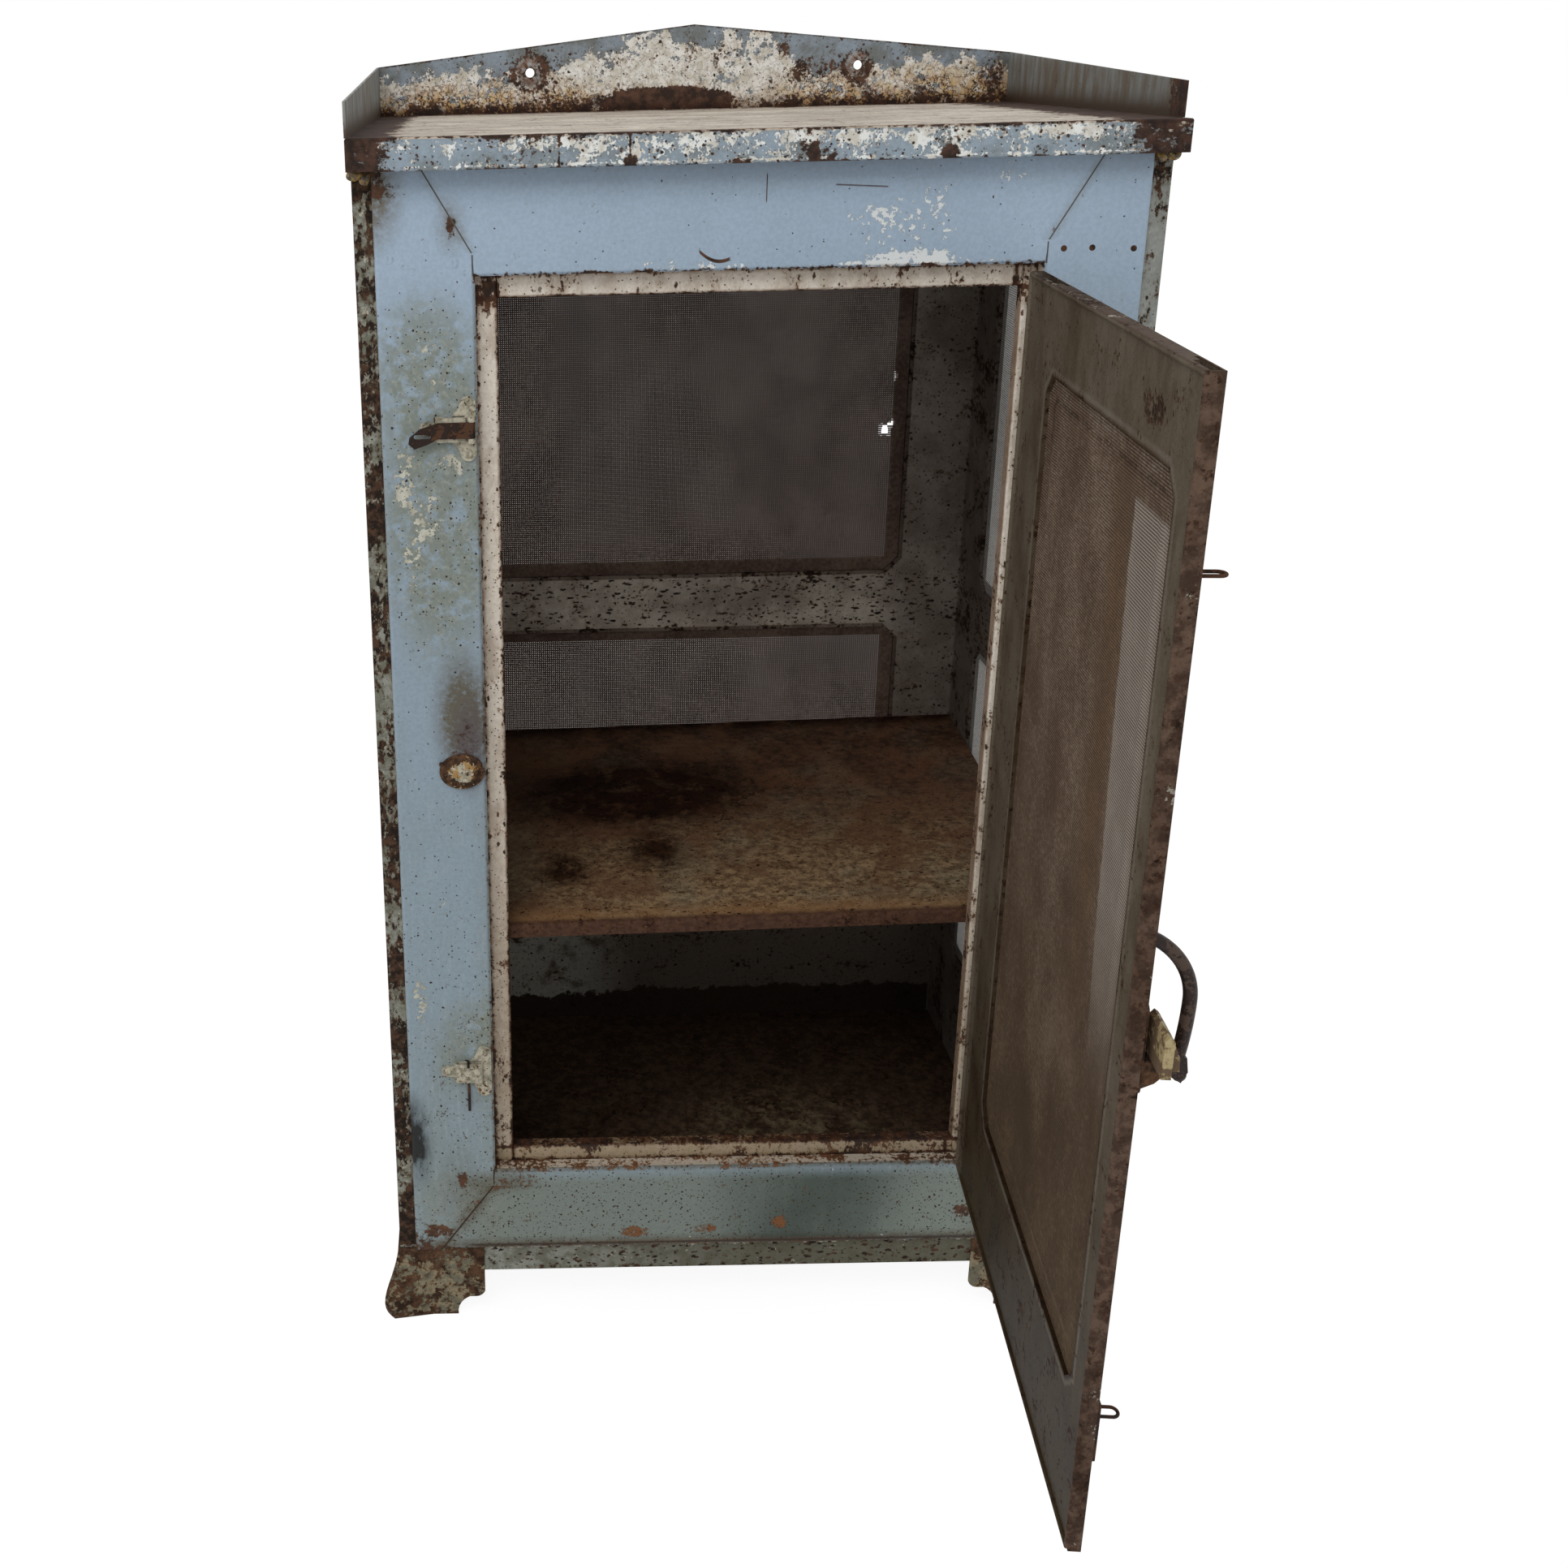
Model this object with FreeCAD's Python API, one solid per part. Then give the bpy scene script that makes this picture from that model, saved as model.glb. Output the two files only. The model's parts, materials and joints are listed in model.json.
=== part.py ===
# Pie safe in pressed sheet steel: angle-iron carcass, gauze panels, one gauze door on three hinges.
# Millimetres. +X to the right, +Y to the back, +Z up. The origin is at floor level on the centre
# line, in the plane of the face frame's front. The door is drawn shut and then swung open to rest.
import FreeCAD, Part
import math
import os

V = FreeCAD.Vector

# ---- carcass ----
carcass_half = 315.5        # centre line to the outside of the corner posts
carcass_front = 5.0         # front of the posts, behind the face frame's front
carcass_rear = 443.0        # back of the posts
angle_leg = 25.0            # corner post angle iron
angle_wall = 2.5
rail_leg = 30.0             # bottom rail angle iron
rail_wall = 2.5
rail_bottom = 50.0          # underside of the bottom rails
sheet = 1.2                 # all pressed sheet

# ---- top and gallery ----
top_height = 1106.5         # upper surface of the top
top_apron = 24.5            # turned-down edge of the top
top_front_overhang = 22.0   # in front of the face frame
top_fit = 0.5               # the top's turned-down edge clears the posts
top_sheet = 1.5
gallery_sheet = 2.0
gallery_end_height = 47.0
gallery_peak_height = 80.5
gallery_front_height = 26.5
gallery_left_setback = 1.0   # front end of the left side, behind the top's front edge
gallery_right_setback = 19.0
hang_spacing = 328.0        # two holes in the gallery's back
hang_height = 38.5          # above the top
hang_hole = 9.0
boss_base = 26.0
boss_face = 15.0
boss_height = 2.2

# ---- face frame and door opening ----
face_inset = 15.5           # from the posts' outside to the face frame's edge
face_bottom = 79.0
stile_width = 78.0
opening_bottom = 168.7
header_height = 106.5       # from the opening's top to the upper surface of the top
face_half = carcass_half - face_inset
opening_half = face_half - stile_width
opening_top = top_height - header_height
face_round = 3.0            # rounded outer edges of the face frame
face_wall = 1.5
mitre_drop = 18.0           # the seam leaves the opening's corner straight up or down
mitre_lean = 2.0            # offset to the side on that first stretch
mitre_run = 51.0            # then runs out to the rail's far edge
stop_depth = 14.0           # door stop, behind the face
stop_left = 17.5            # how far the stop shows inside the opening
stop_right = 11.5           # less on the hinge side
stop_foot = 15.3
stop_head = 19.0
stop_return = 12.0
stop_round = 3.0
stop_wall = 1.5

# ---- gauze panels of the back and the sides ----
panel_depth = 13.5          # inner skin to outer skin
skin_step = 4.0             # the gauze lies this far behind the inner skin
lip = 11.0                  # the outer skin's window is smaller all round
window_chamfer = 15.0
back_stile = 68.5           # as it shows between the side panels
side_stile = 70.0
window_low = 190.0
mid_rail_low = 555.0
mid_rail_high = 620.0
window_head = 121.5         # from the upper windows' top to the upper surface of the top
window_high = top_height - window_head
gauze_thick = 0.8
gauze_fit = 0.3
mesh_across = 8             # the woven wire of a side window, as a plain grid of openings
mesh_down = 11
mesh_bar = 4.0              # left standing between two openings

# ---- floor, shelf ----
floor_top = 66.5
floor_gap = 0.5             # between the floor and the panels round it
floor_front = 12.0          # floor's front edge behind the face
shelf_rear_top = 443.4      # height of the shelf at its back edge
shelf_front_y = 26.0
shelf_gap = 1.5             # between the shelf and the side panels
shelf_pitch = 3.85          # degrees, the front sags
shelf_roll = 1.0            # degrees, the left side sags
shelf_lip = 13.0
shelf_round = 4.0
shelf_sheet = 1.5
ledge_leg = 20.0
ledge_wall = 2.0
ledge_gap = 0.5
ledge_back = 3.0            # the ledge stops short of the back panel

# ---- feet ----
foot_length = 83.0
foot_clear = 0.5            # below the face frame
foot_sheet = 2.0
foot_toe = 56.5             # the toe's length along the floor
foot_cove = 11.5            # length of the hollow curve from the toe up to the step
foot_cove_bow = 2.6
foot_step_low = 20.4
foot_step_high = 29.6
foot_scoop = 9.0            # length of the curve at the wing's end
foot_scoop_bow = 2.2
foot_rings = 12             # plan outlines the wings are lofted through
foot_past = 30.0            # reach of the cutters past the foot
foot_flare = 14.0           # furthest reach of the corner, outwards both ways
foot_bulge = 26.0           # height of that reach
foot_flat = 0.61            # share of each wing that stays flat

# ---- door ----
door_free_gap = 12.0        # free edge to the opening's edge
door_hinge_gap = 2.5
door_foot_gap = 1.8
door_head_gap = 5.0
door_depth = 9.0            # outer skin to inner skin
door_free_stile = 35.0
door_hinge_stile = 77.5
door_top_rail = 65.0
door_bottom_rail = 106.5
door_lip = 12.0
bead_radius = 2.2           # rolled edge round the inner skin
door_open_rest = 84.8       # degrees open where the door stands
door_left = opening_half - door_free_gap       # free edge to the centre line
door_right = opening_half - door_hinge_gap     # hinge edge to the centre line
door_bottom = opening_bottom + door_foot_gap
door_top = opening_top - door_head_gap

# ---- hinges ----
hinge_offset = 1.5          # pin's middle to the opening's edge
hinge_y = -3.4
hinge_from_foot = 119.5     # lowest hinge's middle to the door's foot
hinge_from_head = 129.0
hinge_x = opening_half + hinge_offset
hinge_low = door_bottom + hinge_from_foot
hinge_high = door_top - hinge_from_head
hinge_heights = (hinge_low, (hinge_low + hinge_high) / 2, hinge_high)
hinge_length = 60.0
hinge_knuckle = 3.0
hinge_pin = 1.6
hinge_play = 0.05
hinge_gap = 0.4             # between knuckles
leaf_thick = 1.6
leaf_door = 28.0            # reach of the door's leaf from the pin's middle
leaf_frame = 26.0
leaf_root = 0.3             # the knuckle's strap is thicker than the leaf by this
leaf_clear = 0.3

# ---- hasps on the left stile ----
hasp_height = 879.5
hasp_low_height = 278.5
hasp_set = 1.5              # the plates' right-hand edge to the opening's edge
hasp_edge = -opening_half - hasp_set
hasp_plate_thick = 1.5
hasp_ear = 20.0             # screw ears, above and below the middle
hasp_ear_radius = 6.5
hasp_length = 46.0
hasp_tip = 6.0              # half width and length of the rounded tip
hasp_waist_run = 14.0       # ear's middle to the waist
hasp_waist = 10.0           # half width there
saddle_half = 9.8
saddle_height = 4.2
saddle_length = 25.0
saddle_wall = 1.2
saddle_round = 2.0
hasp_pin_inset = 3.8        # pin to the plate's right-hand edge
hasp_pin_x = hasp_edge - hasp_pin_inset
hasp_pin_y = -5.3
hasp_pin = 1.5
hasp_eye = 3.1
hasp_eye_length = 4.0
strap_thick = 2.0
strap_width = 13.0
strap_straight = 27.0
strap_slot_reach = 39.5     # pin to the middle of the slot
strap_slot_drop = 4.5       # the slotted end hangs lower
strap_slot_length = 14.0
strap_slot_width = 3.8
strap_end_width = 12.5
strap_play = 0.05

# ---- drop pin in the lower hasp ----
drop_pin_inset = 21.0       # pin to the plate's right-hand edge
drop_pin_x = hasp_edge - drop_pin_inset
drop_pin_radius = 1.3
drop_pin_below = 41.0
drop_pin_head = 5.0

# ---- keeper and latch ----
latch_pivot_z = 558.0       # height of the handle's pin
keeper_set = 20.7           # keeper's middle to the opening's edge
keeper_above = 21.5         # and above the handle's pin
keeper_x = -opening_half - keeper_set
keeper_z = latch_pivot_z + keeper_above
keeper_half_x = 19.5
keeper_half_z = 16.0
keeper_plate = 2.0
keeper_hump = 3.2
hump_foot = 12.8            # radius of the hump at the plate, and at its top
hump_top = 7.2
hump_shift = 3.0            # towards the opening
latch_inset = 10.0          # latch's middle to the door's free edge
latch_x = -door_left + latch_inset
latch_plate_half = 8.0
latch_plate_below = 18.0    # reach of the plate below and above the handle's pin
latch_plate_above = 46.0
latch_plate_thick = 2.0
latch_pivot_y = -10.0
latch_pin = 2.5
latch_eye = 6.0
latch_play = 0.06
grip_top_above = 90.0       # from the pin to where the bow comes back to the door
grip_bulge_above = 47.0     # from the pin to the bow's widest point
grip_reach = 27.3           # middle of the grip to the door's face there
grip_foot_y = -23.5
grip_foot_above = 2.0
grip_top_z = latch_pivot_z + grip_top_above
grip_bulge_z = latch_pivot_z + grip_bulge_above
grip_foot_z = latch_pivot_z + grip_foot_above
grip_radius = 4.3
grip_clear = 0.4            # bow's top end to the door
knob_radius = 4.6
arm_half = 4.0
ear_half = 7.0
ear_gap = 0.4
nose_above = 8.5            # foot of the nose above the handle's pin
nose_height = 26.5
nose_reach = 7.0            # past the opening's edge, over the keeper
nose_over_keeper = 0.7
nose_foot = 7.5             # below the lowest ridge
ridge_count = 5
nose_top_thick = 5.0        # top and foot of the wedge, over the keeper
nose_foot_thick = 13.6
nose_tip_thick = 6.0        # the tip over the keeper is planed down
nose_tip_length = 9.0
nose_low = latch_pivot_z + nose_above
nose_high = nose_low + nose_height
nose_tip = -opening_half - nose_reach

# ---- staples on the door ----
staple_wire = 1.2
staple_half = 4.5
staple_reach = 20.5
staple_low_drop = 5.5       # lower staple's middle below the lower hasp plate's
staple_plate_half_x = 20.0
staple_plate_half_z = 24.0
staple_plate_thick = 2.5


def box(x0, x1, y0, y1, z0, z1):
    return Part.makeBox(x1 - x0, y1 - y0, z1 - z0, V(x0, y0, z0))


def cylinder(radius, start, end):
    axis = end.sub(start)
    return Part.makeCylinder(radius, axis.Length, start, axis)


def prism_xz(points, y0, y1):
    """A polygon in the XZ plane, carried from y0 to y1."""
    wire = Part.makePolygon([V(x, y0, z) for x, z in points] + [V(points[0][0], y0, points[0][1])])
    return Part.Face(wire).extrude(V(0, y1 - y0, 0))


def mirrored_x(shape):
    return shape.mirror(V(0, 0, 0), V(1, 0, 0))


def fuse(first, *rest):
    return first.fuse(list(rest)).removeSplitter() if rest else first


def save(name, shape):
    shape.exportStep("parts/%s.step" % name)


# ---------------------------------------------------------------- carcass

def post(side, rear):
    """Angle-iron corner post: one leg on the front or back, the other on the side."""
    top = top_height - top_sheet
    y_out = carcass_rear if rear else carcass_front
    inward = -1 if rear else 1
    y_leg = sorted((y_out, y_out + inward * angle_leg))
    y_wall = sorted((y_out, y_out + inward * angle_wall))
    side_leg = box(carcass_half - angle_wall, carcass_half, y_leg[0], y_leg[1], rail_bottom, top)
    face_leg = box(carcass_half - angle_leg, carcass_half, y_wall[0], y_wall[1], rail_bottom, top)
    shape = fuse(side_leg, face_leg)
    return shape if side > 0 else mirrored_x(shape)


def cross_rail(rear):
    """Bottom rail of the front or back, its flange turned inwards at the foot."""
    reach = carcass_half - angle_leg
    y_out = carcass_rear if rear else carcass_front
    inward = -1 if rear else 1
    y_leg = sorted((y_out, y_out + inward * rail_leg))
    y_wall = sorted((y_out, y_out + inward * rail_wall))
    upright = box(-reach, reach, y_wall[0], y_wall[1], rail_bottom, rail_bottom + rail_leg)
    flange = box(-reach, reach, y_leg[0], y_leg[1], rail_bottom, rail_bottom + rail_wall)
    return fuse(upright, flange)


def side_rail():
    """Right bottom rail, between the posts' side legs."""
    y0 = carcass_front + angle_leg
    y1 = carcass_rear - angle_leg
    x_in = carcass_half - rail_leg
    upright = box(carcass_half - rail_wall, carcass_half, y0, y1, rail_bottom, rail_bottom + rail_leg)
    flange_y0 = carcass_front + rail_leg
    flange_y1 = carcass_rear - rail_leg
    flange = box(x_in, carcass_half, flange_y0, flange_y1, rail_bottom, rail_bottom + rail_wall)
    return fuse(upright, flange)


def build_carcass():
    save("post_front_right", post(1, False))
    save("post_front_left", post(-1, False))
    save("post_rear_right", post(1, True))
    save("post_rear_left", post(-1, True))
    save("bottom_rail_front", cross_rail(False))
    save("bottom_rail_rear", cross_rail(True))
    save("bottom_rails_side", Part.makeCompound([side_rail(), mirrored_x(side_rail())]))


# ---------------------------------------------------------------- top and gallery

top_half = carcass_half + top_fit + top_sheet
top_rear = carcass_rear + top_fit + top_sheet


def top_tray():
    """Flat top with its four edges turned down and the outer edges rounded."""
    z0 = top_height - top_apron
    outer = box(-top_half, top_half, -top_front_overhang, top_rear, z0, top_height)
    edges = [e for e in outer.Edges if e.BoundBox.ZMin > z0 + 1 or e.BoundBox.ZLength > 1]
    outer = outer.makeFillet(top_sheet * 1.2, edges)
    inner = box(-top_half + top_sheet, top_half - top_sheet,
                -top_front_overhang + top_sheet, top_rear - top_sheet,
                z0 - 1, top_height - top_sheet)
    return outer.cut(inner)


def gallery_back():
    """Gabled board along the back edge, with two dished hanging holes."""
    y1 = top_rear
    y0 = y1 - gallery_sheet
    outline = [(-top_half, top_height), (top_half, top_height),
               (top_half, top_height + gallery_end_height),
               (0, top_height + gallery_peak_height),
               (-top_half, top_height + gallery_end_height)]
    board = prism_xz(outline, y0, y1)
    z = top_height + hang_height
    for x in (-hang_spacing / 2, hang_spacing / 2):
        boss = Part.makeCone(boss_base / 2, boss_face / 2, boss_height, V(x, y0, z), V(0, -1, 0))
        board = fuse(board, boss)
        board = board.cut(cylinder(hang_hole / 2, V(x, y0 - boss_height - 1, z), V(x, y1 + 1, z)))
    return board


def gallery_side(setback):
    """Right side board, lower at the front."""
    y0 = -top_front_overhang + setback
    y1 = top_rear - gallery_sheet
    outline = [V(top_half, y0, top_height), V(top_half, y1, top_height),
               V(top_half, y1, top_height + gallery_end_height),
               V(top_half, y0, top_height + gallery_front_height),
               V(top_half, y0, top_height)]
    return Part.Face(Part.makePolygon(outline)).extrude(V(-gallery_sheet, 0, 0))


def build_top():
    save("top_panel", top_tray())
    save("gallery_back", gallery_back())
    save("gallery_right", gallery_side(gallery_right_setback))
    save("gallery_left", mirrored_x(gallery_side(gallery_left_setback)))


# ---------------------------------------------------------------- face frame and door stop

face_top = top_height - top_sheet


def seam_x(z):
    """X of the right-hand mitre seam at height z, from the opening's corner outwards."""
    if z >= opening_top:
        start = opening_top + mitre_drop
        far = face_top
    else:
        start = opening_bottom - mitre_drop
        far = face_bottom
    return opening_half + mitre_lean + (z - start) / (far - start) * mitre_run


def face_member(outline, cavity):
    """Pressed channel: a plate with rounded front edges, open at the back."""
    plate = prism_xz(outline, 0, carcass_front)
    front = [e for e in plate.Edges if e.BoundBox.YMax < 1e-6 and e.Length > face_half - opening_half
             and min(e.BoundBox.XLength, e.BoundBox.ZLength) < 1e-6]
    plate = plate.makeFillet(face_round, front)
    return plate.cut(cavity)


def face_stile():
    """Right stile with the mitred ends and the return that reaches the door stop."""
    low = opening_bottom - mitre_drop
    high = opening_top + mitre_drop
    outline = [(opening_half, opening_bottom), (opening_half + mitre_lean, low),
               (seam_x(face_bottom), face_bottom), (face_half, face_bottom),
               (face_half, face_top), (seam_x(face_top), face_top),
               (opening_half + mitre_lean, high), (opening_half, opening_top)]
    cavity = box(opening_half + face_wall, face_half - face_wall, face_wall, carcass_front + 1,
                 face_bottom - 1, face_top + 1)
    body = face_member(outline, cavity)
    back = box(opening_half, opening_half + face_wall, face_wall, stop_depth, opening_bottom, opening_top)
    return fuse(body, back)


def face_rail(low):
    """Top or bottom rail between the mitre seams."""
    if low:
        corner = opening_bottom
        bend = opening_bottom - mitre_drop
        far = face_bottom
        wall = (corner - face_wall, corner)
    else:
        corner = opening_top
        bend = opening_top + mitre_drop
        far = face_top
        wall = (corner, corner + face_wall)
    right = [(opening_half, corner), (opening_half + mitre_lean, bend), (seam_x(far), far)]
    left = [(-x, z) for x, z in reversed(right)]
    z_in = sorted((wall[0] if low else wall[1], far + (face_wall if low else -face_wall)))
    cavity = box(-face_half, face_half, face_wall, carcass_front + 1, z_in[0], z_in[1])
    body = face_member(right + left, cavity)
    back = box(-opening_half, opening_half, face_wall, stop_depth, wall[0], wall[1])
    return fuse(body, back)


def stop_strip(length, width):
    """Folded strip along Z: front leaf from x=0 inwards to -width, rounded, with a return."""
    block = box(-width, 0, 0, stop_return, 0, length)
    edge = [e for e in block.Edges if e.BoundBox.XMax < -width + 1e-6 and e.BoundBox.YMax < 1e-6]
    block = block.makeFillet(stop_round, edge)
    hollow = box(-width + stop_wall, 1, stop_wall, stop_return + 1, -1, length + 1)
    return block.cut(hollow)


def build_face():
    stile = face_stile()
    save("face_stile_right", stile)
    save("face_stile_left", mirrored_x(stile))
    save("face_rail_top", face_rail(False))
    save("face_rail_bottom", face_rail(True))
    height = opening_top - opening_bottom
    for name, width in (("right", stop_right), ("left", stop_left)):
        side = stop_strip(height, width)
        side.translate(V(opening_half, stop_depth, opening_bottom))
        save("door_stop_" + name, side if name == "right" else mirrored_x(side))
    clear_left = opening_half - stop_left
    clear_right = opening_half - stop_right
    foot = stop_strip(clear_left + clear_right, stop_foot)
    foot.rotate(V(0, 0, 0), V(0, 1, 0), 90)       # length along +X, width rises
    foot.translate(V(-clear_left, stop_depth, opening_bottom))
    save("door_stop_bottom", foot)
    head = stop_strip(clear_left + clear_right, stop_head)
    head.rotate(V(0, 0, 0), V(0, 1, 0), -90)      # length along -X, width hangs
    head.translate(V(clear_right, stop_depth, opening_top))
    save("door_stop_top", head)


# ---------------------------------------------------------------- gauze panels
# A panel is drawn with X along its width, Y outwards from its inner skin and Z up.

def panel_bar(inner, outer, inner_hollow, outer_hollow, depth):
    """Two skins with a step between them, hollow and open at the bar's ends."""
    solid = fuse(prism_xz(inner, 0, skin_step), box(outer[0], outer[1], skin_step, depth, outer[2], outer[3]))
    x0, x1, z0, z1 = inner_hollow
    hollow = box(x0, x1, sheet, skin_step + sheet, z0, z1)
    x0, x1, z0, z1 = outer_hollow
    return solid.cut(hollow).cut(box(x0, x1, skin_step + sheet, depth - sheet, z0, z1))


def panel_bars(x_lo, x_hi, win_lo, win_hi, z_lo, z_hi, windows, depth, lap):
    """Stiles and rails of one panel: [low stile, high stile, rails from the bottom up]."""
    bars = []
    for edge, win, sign in ((x_lo, win_lo, 1), (x_hi, win_hi, -1)):
        x0, x1 = sorted((edge, win))
        o0, o1 = sorted((edge, win + sign * lap))
        hollow = (x0 + sheet, x1 - sheet, z_lo - 1, z_hi + 1)
        wide = (o0 + sheet, o1 - sheet, z_lo - 1, z_hi + 1)
        outline = [(x0, z_lo), (x1, z_lo), (x1, z_hi), (x0, z_hi)]
        bars.append(panel_bar(outline, (o0, o1, z_lo, z_hi), hollow, wide, depth))
    lows = [z_lo] + [w[1] for w in windows]
    highs = [w[0] for w in windows] + [z_hi]
    c = window_chamfer
    for k, (z0, z1) in enumerate(zip(lows, highs)):
        below = k > 0                   # a window lies under this rail
        above = k < len(windows)
        outline = []
        if below:
            outline += [(win_lo, z0 - c), (win_lo + c, z0), (win_hi - c, z0), (win_hi, z0 - c)]
        else:
            outline += [(win_lo, z0), (win_hi, z0)]
        if above:
            outline += [(win_hi, z1 + c), (win_hi - c, z1), (win_lo + c, z1), (win_lo, z1 + c)]
        else:
            outline += [(win_hi, z1), (win_lo, z1)]
        o0 = z0 - (lap if below else 0)
        o1 = z1 + (lap if above else 0)
        hollow = (win_lo - 1, win_hi + 1, z0 + sheet, z1 - sheet)
        wide = (win_lo - 1, win_hi + 1, o0 + sheet, o1 - sheet)
        bars.append(panel_bar(outline, (win_lo + lap, win_hi - lap, o0, o1), hollow, wide, depth))
    return bars


def mesh_openings(x0, x1, z0, z1):
    """Grid of square-cornered openings inside the outer skin's window."""
    pitch_x = (x1 - x0 + mesh_bar) / mesh_across
    pitch_z = (z1 - z0 + mesh_bar) / mesh_down
    cells = []
    for i in range(mesh_across):
        for k in range(mesh_down):
            x, z = x0 + i * pitch_x, z0 + k * pitch_z
            cells.append(box(x, x + pitch_x - mesh_bar, 0, skin_step + 1, z, z + pitch_z - mesh_bar))
    return Part.makeCompound(cells)


def gauze_sheet(win_lo, win_hi, z0, z1):
    """Flat gauze in one window, lying on the outer skin's lip."""
    x0, x1 = win_lo + gauze_fit, win_hi - gauze_fit
    b0, b1 = z0 + gauze_fit, z1 - gauze_fit
    c = window_chamfer
    outline = [(x0 + c, b0), (x1 - c, b0), (x1, b0 + c), (x1, b1 - c),
               (x1 - c, b1), (x0 + c, b1), (x0, b1 - c), (x0, b0 + c)]
    return prism_xz(outline, skin_step - gauze_thick, skin_step)


panel_windows = [(window_low, mid_rail_low), (mid_rail_high, window_high)]
panel_low = rail_bottom + rail_wall
panel_high = top_height - top_sheet
back_inner = carcass_rear - angle_wall - panel_depth
side_inner = carcass_half - angle_wall - panel_depth


def build_back():
    reach = carcass_half - angle_wall
    win = side_inner - back_stile
    bars = panel_bars(-reach, reach, -win, win, panel_low, panel_high, panel_windows, panel_depth, lip)
    gauze = Part.makeCompound([gauze_sheet(-win, win, z0, z1) for z0, z1 in panel_windows])
    names = ["back_stile_left", "back_stile_right", "back_rail_bottom", "back_rail_middle", "back_rail_top"]
    for name, bar in zip(names + ["back_gauze"], bars + [gauze]):
        bar.translate(V(0, back_inner, 0))
        save(name, bar)


def build_sides():
    y0 = carcass_front + angle_wall
    win_front = y0 + side_stile
    win_rear = back_inner - side_stile
    bars = panel_bars(y0, back_inner, win_front, win_rear, panel_low, panel_high, panel_windows,
                      panel_depth, lip)
    sheets = []
    for low, high in panel_windows:
        openings = mesh_openings(win_front + lip, win_rear - lip, low + lip, high - lip)
        sheets.append(gauze_sheet(win_front, win_rear, low, high).cut(openings))
    gauze = Part.makeCompound(sheets)
    names = ["stile_front", "stile_rear", "rail_bottom", "rail_middle", "rail_top", "gauze"]
    for name, bar in zip(names, bars + [gauze]):
        bar.rotate(V(0, 0, 0), V(0, 0, 1), 90)      # width along +Y, outer skin to -X
        bar.translate(V(-side_inner, 0, 0))
        save("left_" + name, bar)
        save("right_" + name, mirrored_x(bar))


# ---------------------------------------------------------------- floor and shelf

def floor_pan():
    """Sheet with its edges turned down onto the bottom rails' flanges."""
    half = side_inner - floor_gap
    y1 = back_inner - floor_gap
    z0 = rail_bottom + rail_wall
    outer = box(-half, half, floor_front, y1, z0, floor_top)
    inner = box(-half + sheet, half - sheet, floor_front + sheet, y1 - sheet, z0 - 1, floor_top - sheet)
    return outer.cut(inner)


def tilt_shelf(shape):
    """Places a piece drawn level, with z = 0 on the shelf's top and y = 0 at its back edge."""
    shape.rotate(V(0, 0, 0), V(0, 1, 0), -shelf_roll)
    shape.rotate(V(0, 0, 0), V(1, 0, 0), shelf_pitch)
    shape.translate(V(0, back_inner - floor_gap, shelf_rear_top))
    return shape


def shelf_sheet_solid():
    depth = back_inner - floor_gap - shelf_front_y
    shelf_half = side_inner - shelf_gap
    block = box(-shelf_half, shelf_half, -depth, 0, -shelf_lip, 0)
    front = [e for e in block.Edges if e.BoundBox.YMax < -depth + 1e-6 and e.BoundBox.ZMin > -1e-6]
    block = block.makeFillet(shelf_round, front)
    under = box(-shelf_half - 1, shelf_half + 1, -depth + shelf_sheet, 1, -shelf_lip - 1, -shelf_sheet)
    return block.cut(under)


def ledge():
    """Right shelf ledge: angle iron from the front stile to the rear stile of the side panel."""
    y0 = -(back_inner - floor_gap - shelf_front_y) + shelf_sheet + 1
    z_top = -shelf_sheet
    ledge_half = side_inner - ledge_gap
    upright = box(ledge_half - ledge_wall, ledge_half, y0, -ledge_back, z_top - ledge_leg, z_top)
    flange = box(ledge_half - ledge_leg, ledge_half, y0, -ledge_back, z_top - ledge_wall, z_top)
    return fuse(upright, flange)


def build_inside():
    save("floor_panel", floor_pan())
    save("shelf", tilt_shelf(shelf_sheet_solid()))
    save("shelf_ledges", Part.makeCompound([tilt_shelf(ledge()), tilt_shelf(mirrored_x(ledge()))]))


# ---------------------------------------------------------------- feet

def foot_outline_cutter(length):
    """The stepped inner end of a wing, as a prism under it: X along the wing, Z up."""
    deep = 3 * length
    toe = V(foot_toe, 0, 0)
    step = V(foot_toe + foot_cove, 0, foot_step_low)
    step_end = V(length - foot_scoop, 0, foot_step_low)
    tip = V(length + 0.5, 0, foot_step_high)
    cove_middle = V(foot_toe + foot_cove_bow, 0, foot_step_low * 0.62)
    scoop_middle = V(length - foot_scoop_bow, 0, foot_step_low + 0.315 * (foot_step_high - foot_step_low))
    edges = [Part.Arc(toe, cove_middle, step).toShape(),
             Part.LineSegment(step, step_end).toShape(),
             Part.Arc(step_end, scoop_middle, tip).toShape()]
    end = length + foot_past
    far = [tip, V(end, 0, foot_step_high), V(end, 0, -foot_past), V(foot_toe, 0, -foot_past), toe]
    edges += [Part.LineSegment(a, b).toShape() for a, b in zip(far, far[1:])]
    face = Part.Face(Part.Wire(edges))
    cutter = face.extrude(V(0, 2 * deep, 0))
    cutter.translate(V(0, -deep, 0))
    return cutter


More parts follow.
